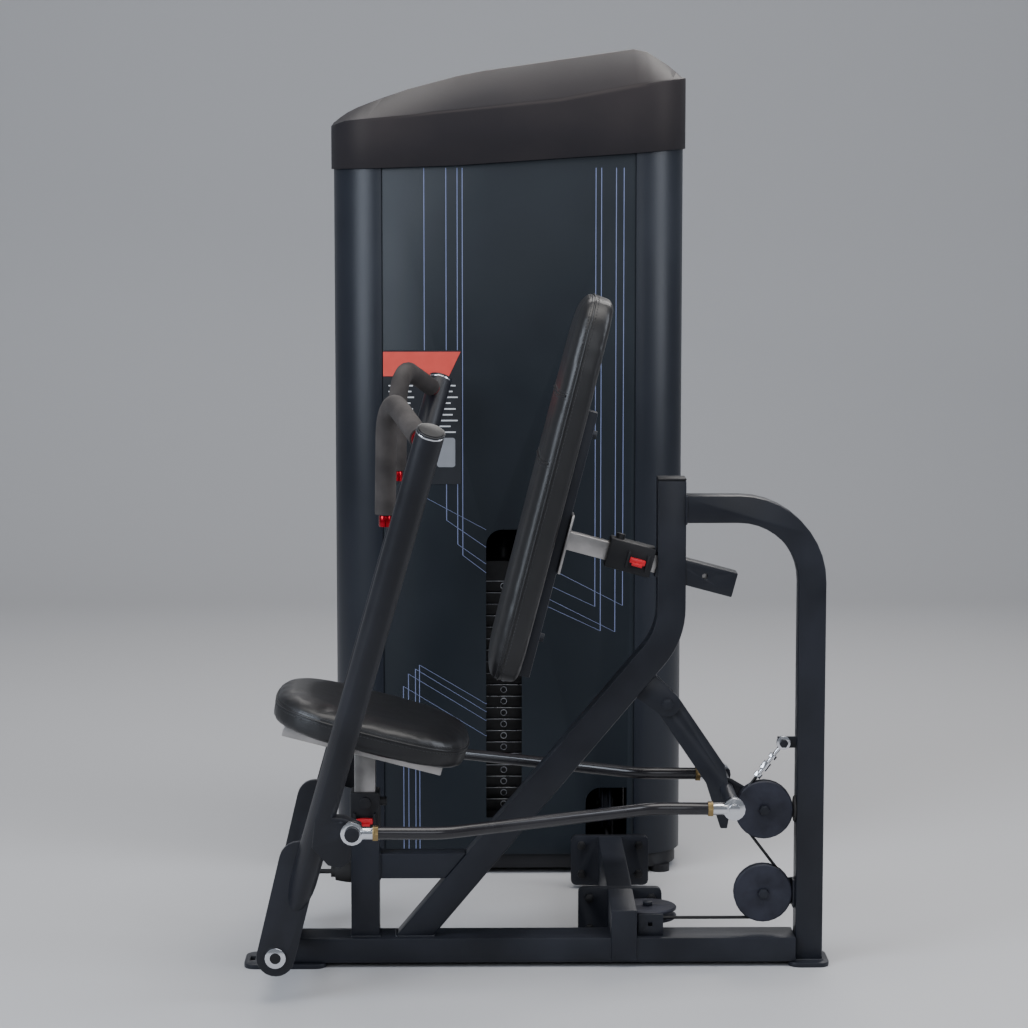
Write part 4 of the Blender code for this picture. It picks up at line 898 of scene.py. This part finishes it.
def sewn(name, pad, body, points, closed, gap=0.0058, pitch=0.0062):
    """A seam on the cover: the welt where two cuts of leatherette meet, and a row of stitches on each
    side."""
    laid = [on_surface(pad, point, 0.0002)[0] for point in points]
    curve = bpy.data.curves.new(name, "CURVE")
    curve.dimensions = "3D"
    spline = curve.splines.new("POLY")
    spline.points.add(len(laid) - 1)
    for place, point in zip(spline.points, laid):
        place.co = (*point, 1.0)
    spline.use_cyclic_u = closed
    curve.bevel_depth = 0.0020
    curve.bevel_resolution = 2
    curve.use_fill_caps = True
    welt = bpy.data.objects.new(name, curve)
    bpy.context.collection.objects.link(welt)
    only(welt)
    bpy.ops.object.convert(target="MESH")
    welt = bpy.context.object
    bpy.ops.object.shade_smooth()
    welt.data.materials.append(leatherette)
    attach(welt, body)

    bpy.ops.object.select_all(action="DESELECT")
    bpy.ops.mesh.primitive_uv_sphere_add(segments=6, ring_count=5, radius=1.0)
    stitch = bpy.context.object
    stitch.scale = (0.0023, 0.0008, 0.0007)
    bpy.ops.object.transform_apply()
    shape = stitch.data
    stitches = bmesh.new()
    walked, due = 0.0, 0.0
    path = laid + [laid[0]] if closed else laid
    for start, end in zip(path, path[1:]):
        run = end - start
        while due < walked + run.length:
            spot = start + run * ((due - walked) / run.length)
            _, normal = on_surface(pad, spot)
            along = run.normalized()
            across = normal.cross(along).normalized()
            for side in (-1, 1):
                seat, face = on_surface(pad, spot + across * gap * side, 0.0002)
                turn = Matrix((along, across, face)).transposed().to_4x4()
                before = len(stitches.verts)
                stitches.from_mesh(shape)
                stitches.verts.ensure_lookup_table()
                for vert in stitches.verts[before:]:
                    vert.co = turn @ vert.co + seat
            due += pitch
        walked += run.length
    stitches.to_mesh(shape)
    stitches.free()
    stitch.name = name + "_stitches"
    only(stitch)
    bpy.ops.object.shade_smooth()
    shape.materials.append(thread)
    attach(stitch, body)


def pad_frame(node, tilt):
    """The pad's own axes: along it, across it and out of its face, at its middle."""
    low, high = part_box(node)
    return Matrix.Translation((low + high) / 2) @ Matrix.Rotation(radians(tilt), 4, "Y")


def outline(length, width, power, level, count=120):
    """Points round a pad's edge at one height, in the pad's own axes."""
    points = []
    for step in range(count):
        c, s = cos(2 * pi * step / count), sin(2 * pi * step / count)
        x = abs(c) ** (2 / power) * (1 if c > 0 else -1) * length / 2
        y = abs(s) ** (2 / power) * (1 if s > 0 else -1) * width / 2
        points.append(Vector((x, y, level)))
    return points


SEAT_TILT, BACK_TILT = 14.5, 14.4 - 90
seat = stuffed("seat_pad", "seat", 0.003, SEAT_TILT)
back = stuffed("back_pad", "back", 0.003, BACK_TILT)
seat_axes, back_axes = pad_frame("seat_pad", SEAT_TILT), pad_frame("back_pad", BACK_TILT)
seat_edge = [seat_axes @ point for point in outline(0.352, 0.340, 3.0, 0.010)]
sewn("seat_seam", seat, "seat", seat_edge, True)
back_edge = [back_axes @ point for point in outline(0.694, 0.270, 5.0, 0.010, 160)]
sewn("back_seam", back, "back", back_edge, True)
for index, along in enumerate((0.170, 0.050)):
    ring = []
    for step in range(25):
        across = -0.150 + 0.300 * step / 24
        ring.append(back_axes @ Vector((along, across, 0.040)))
    sewn(f"back_cross_seam_{index}", back, "back", ring, False)
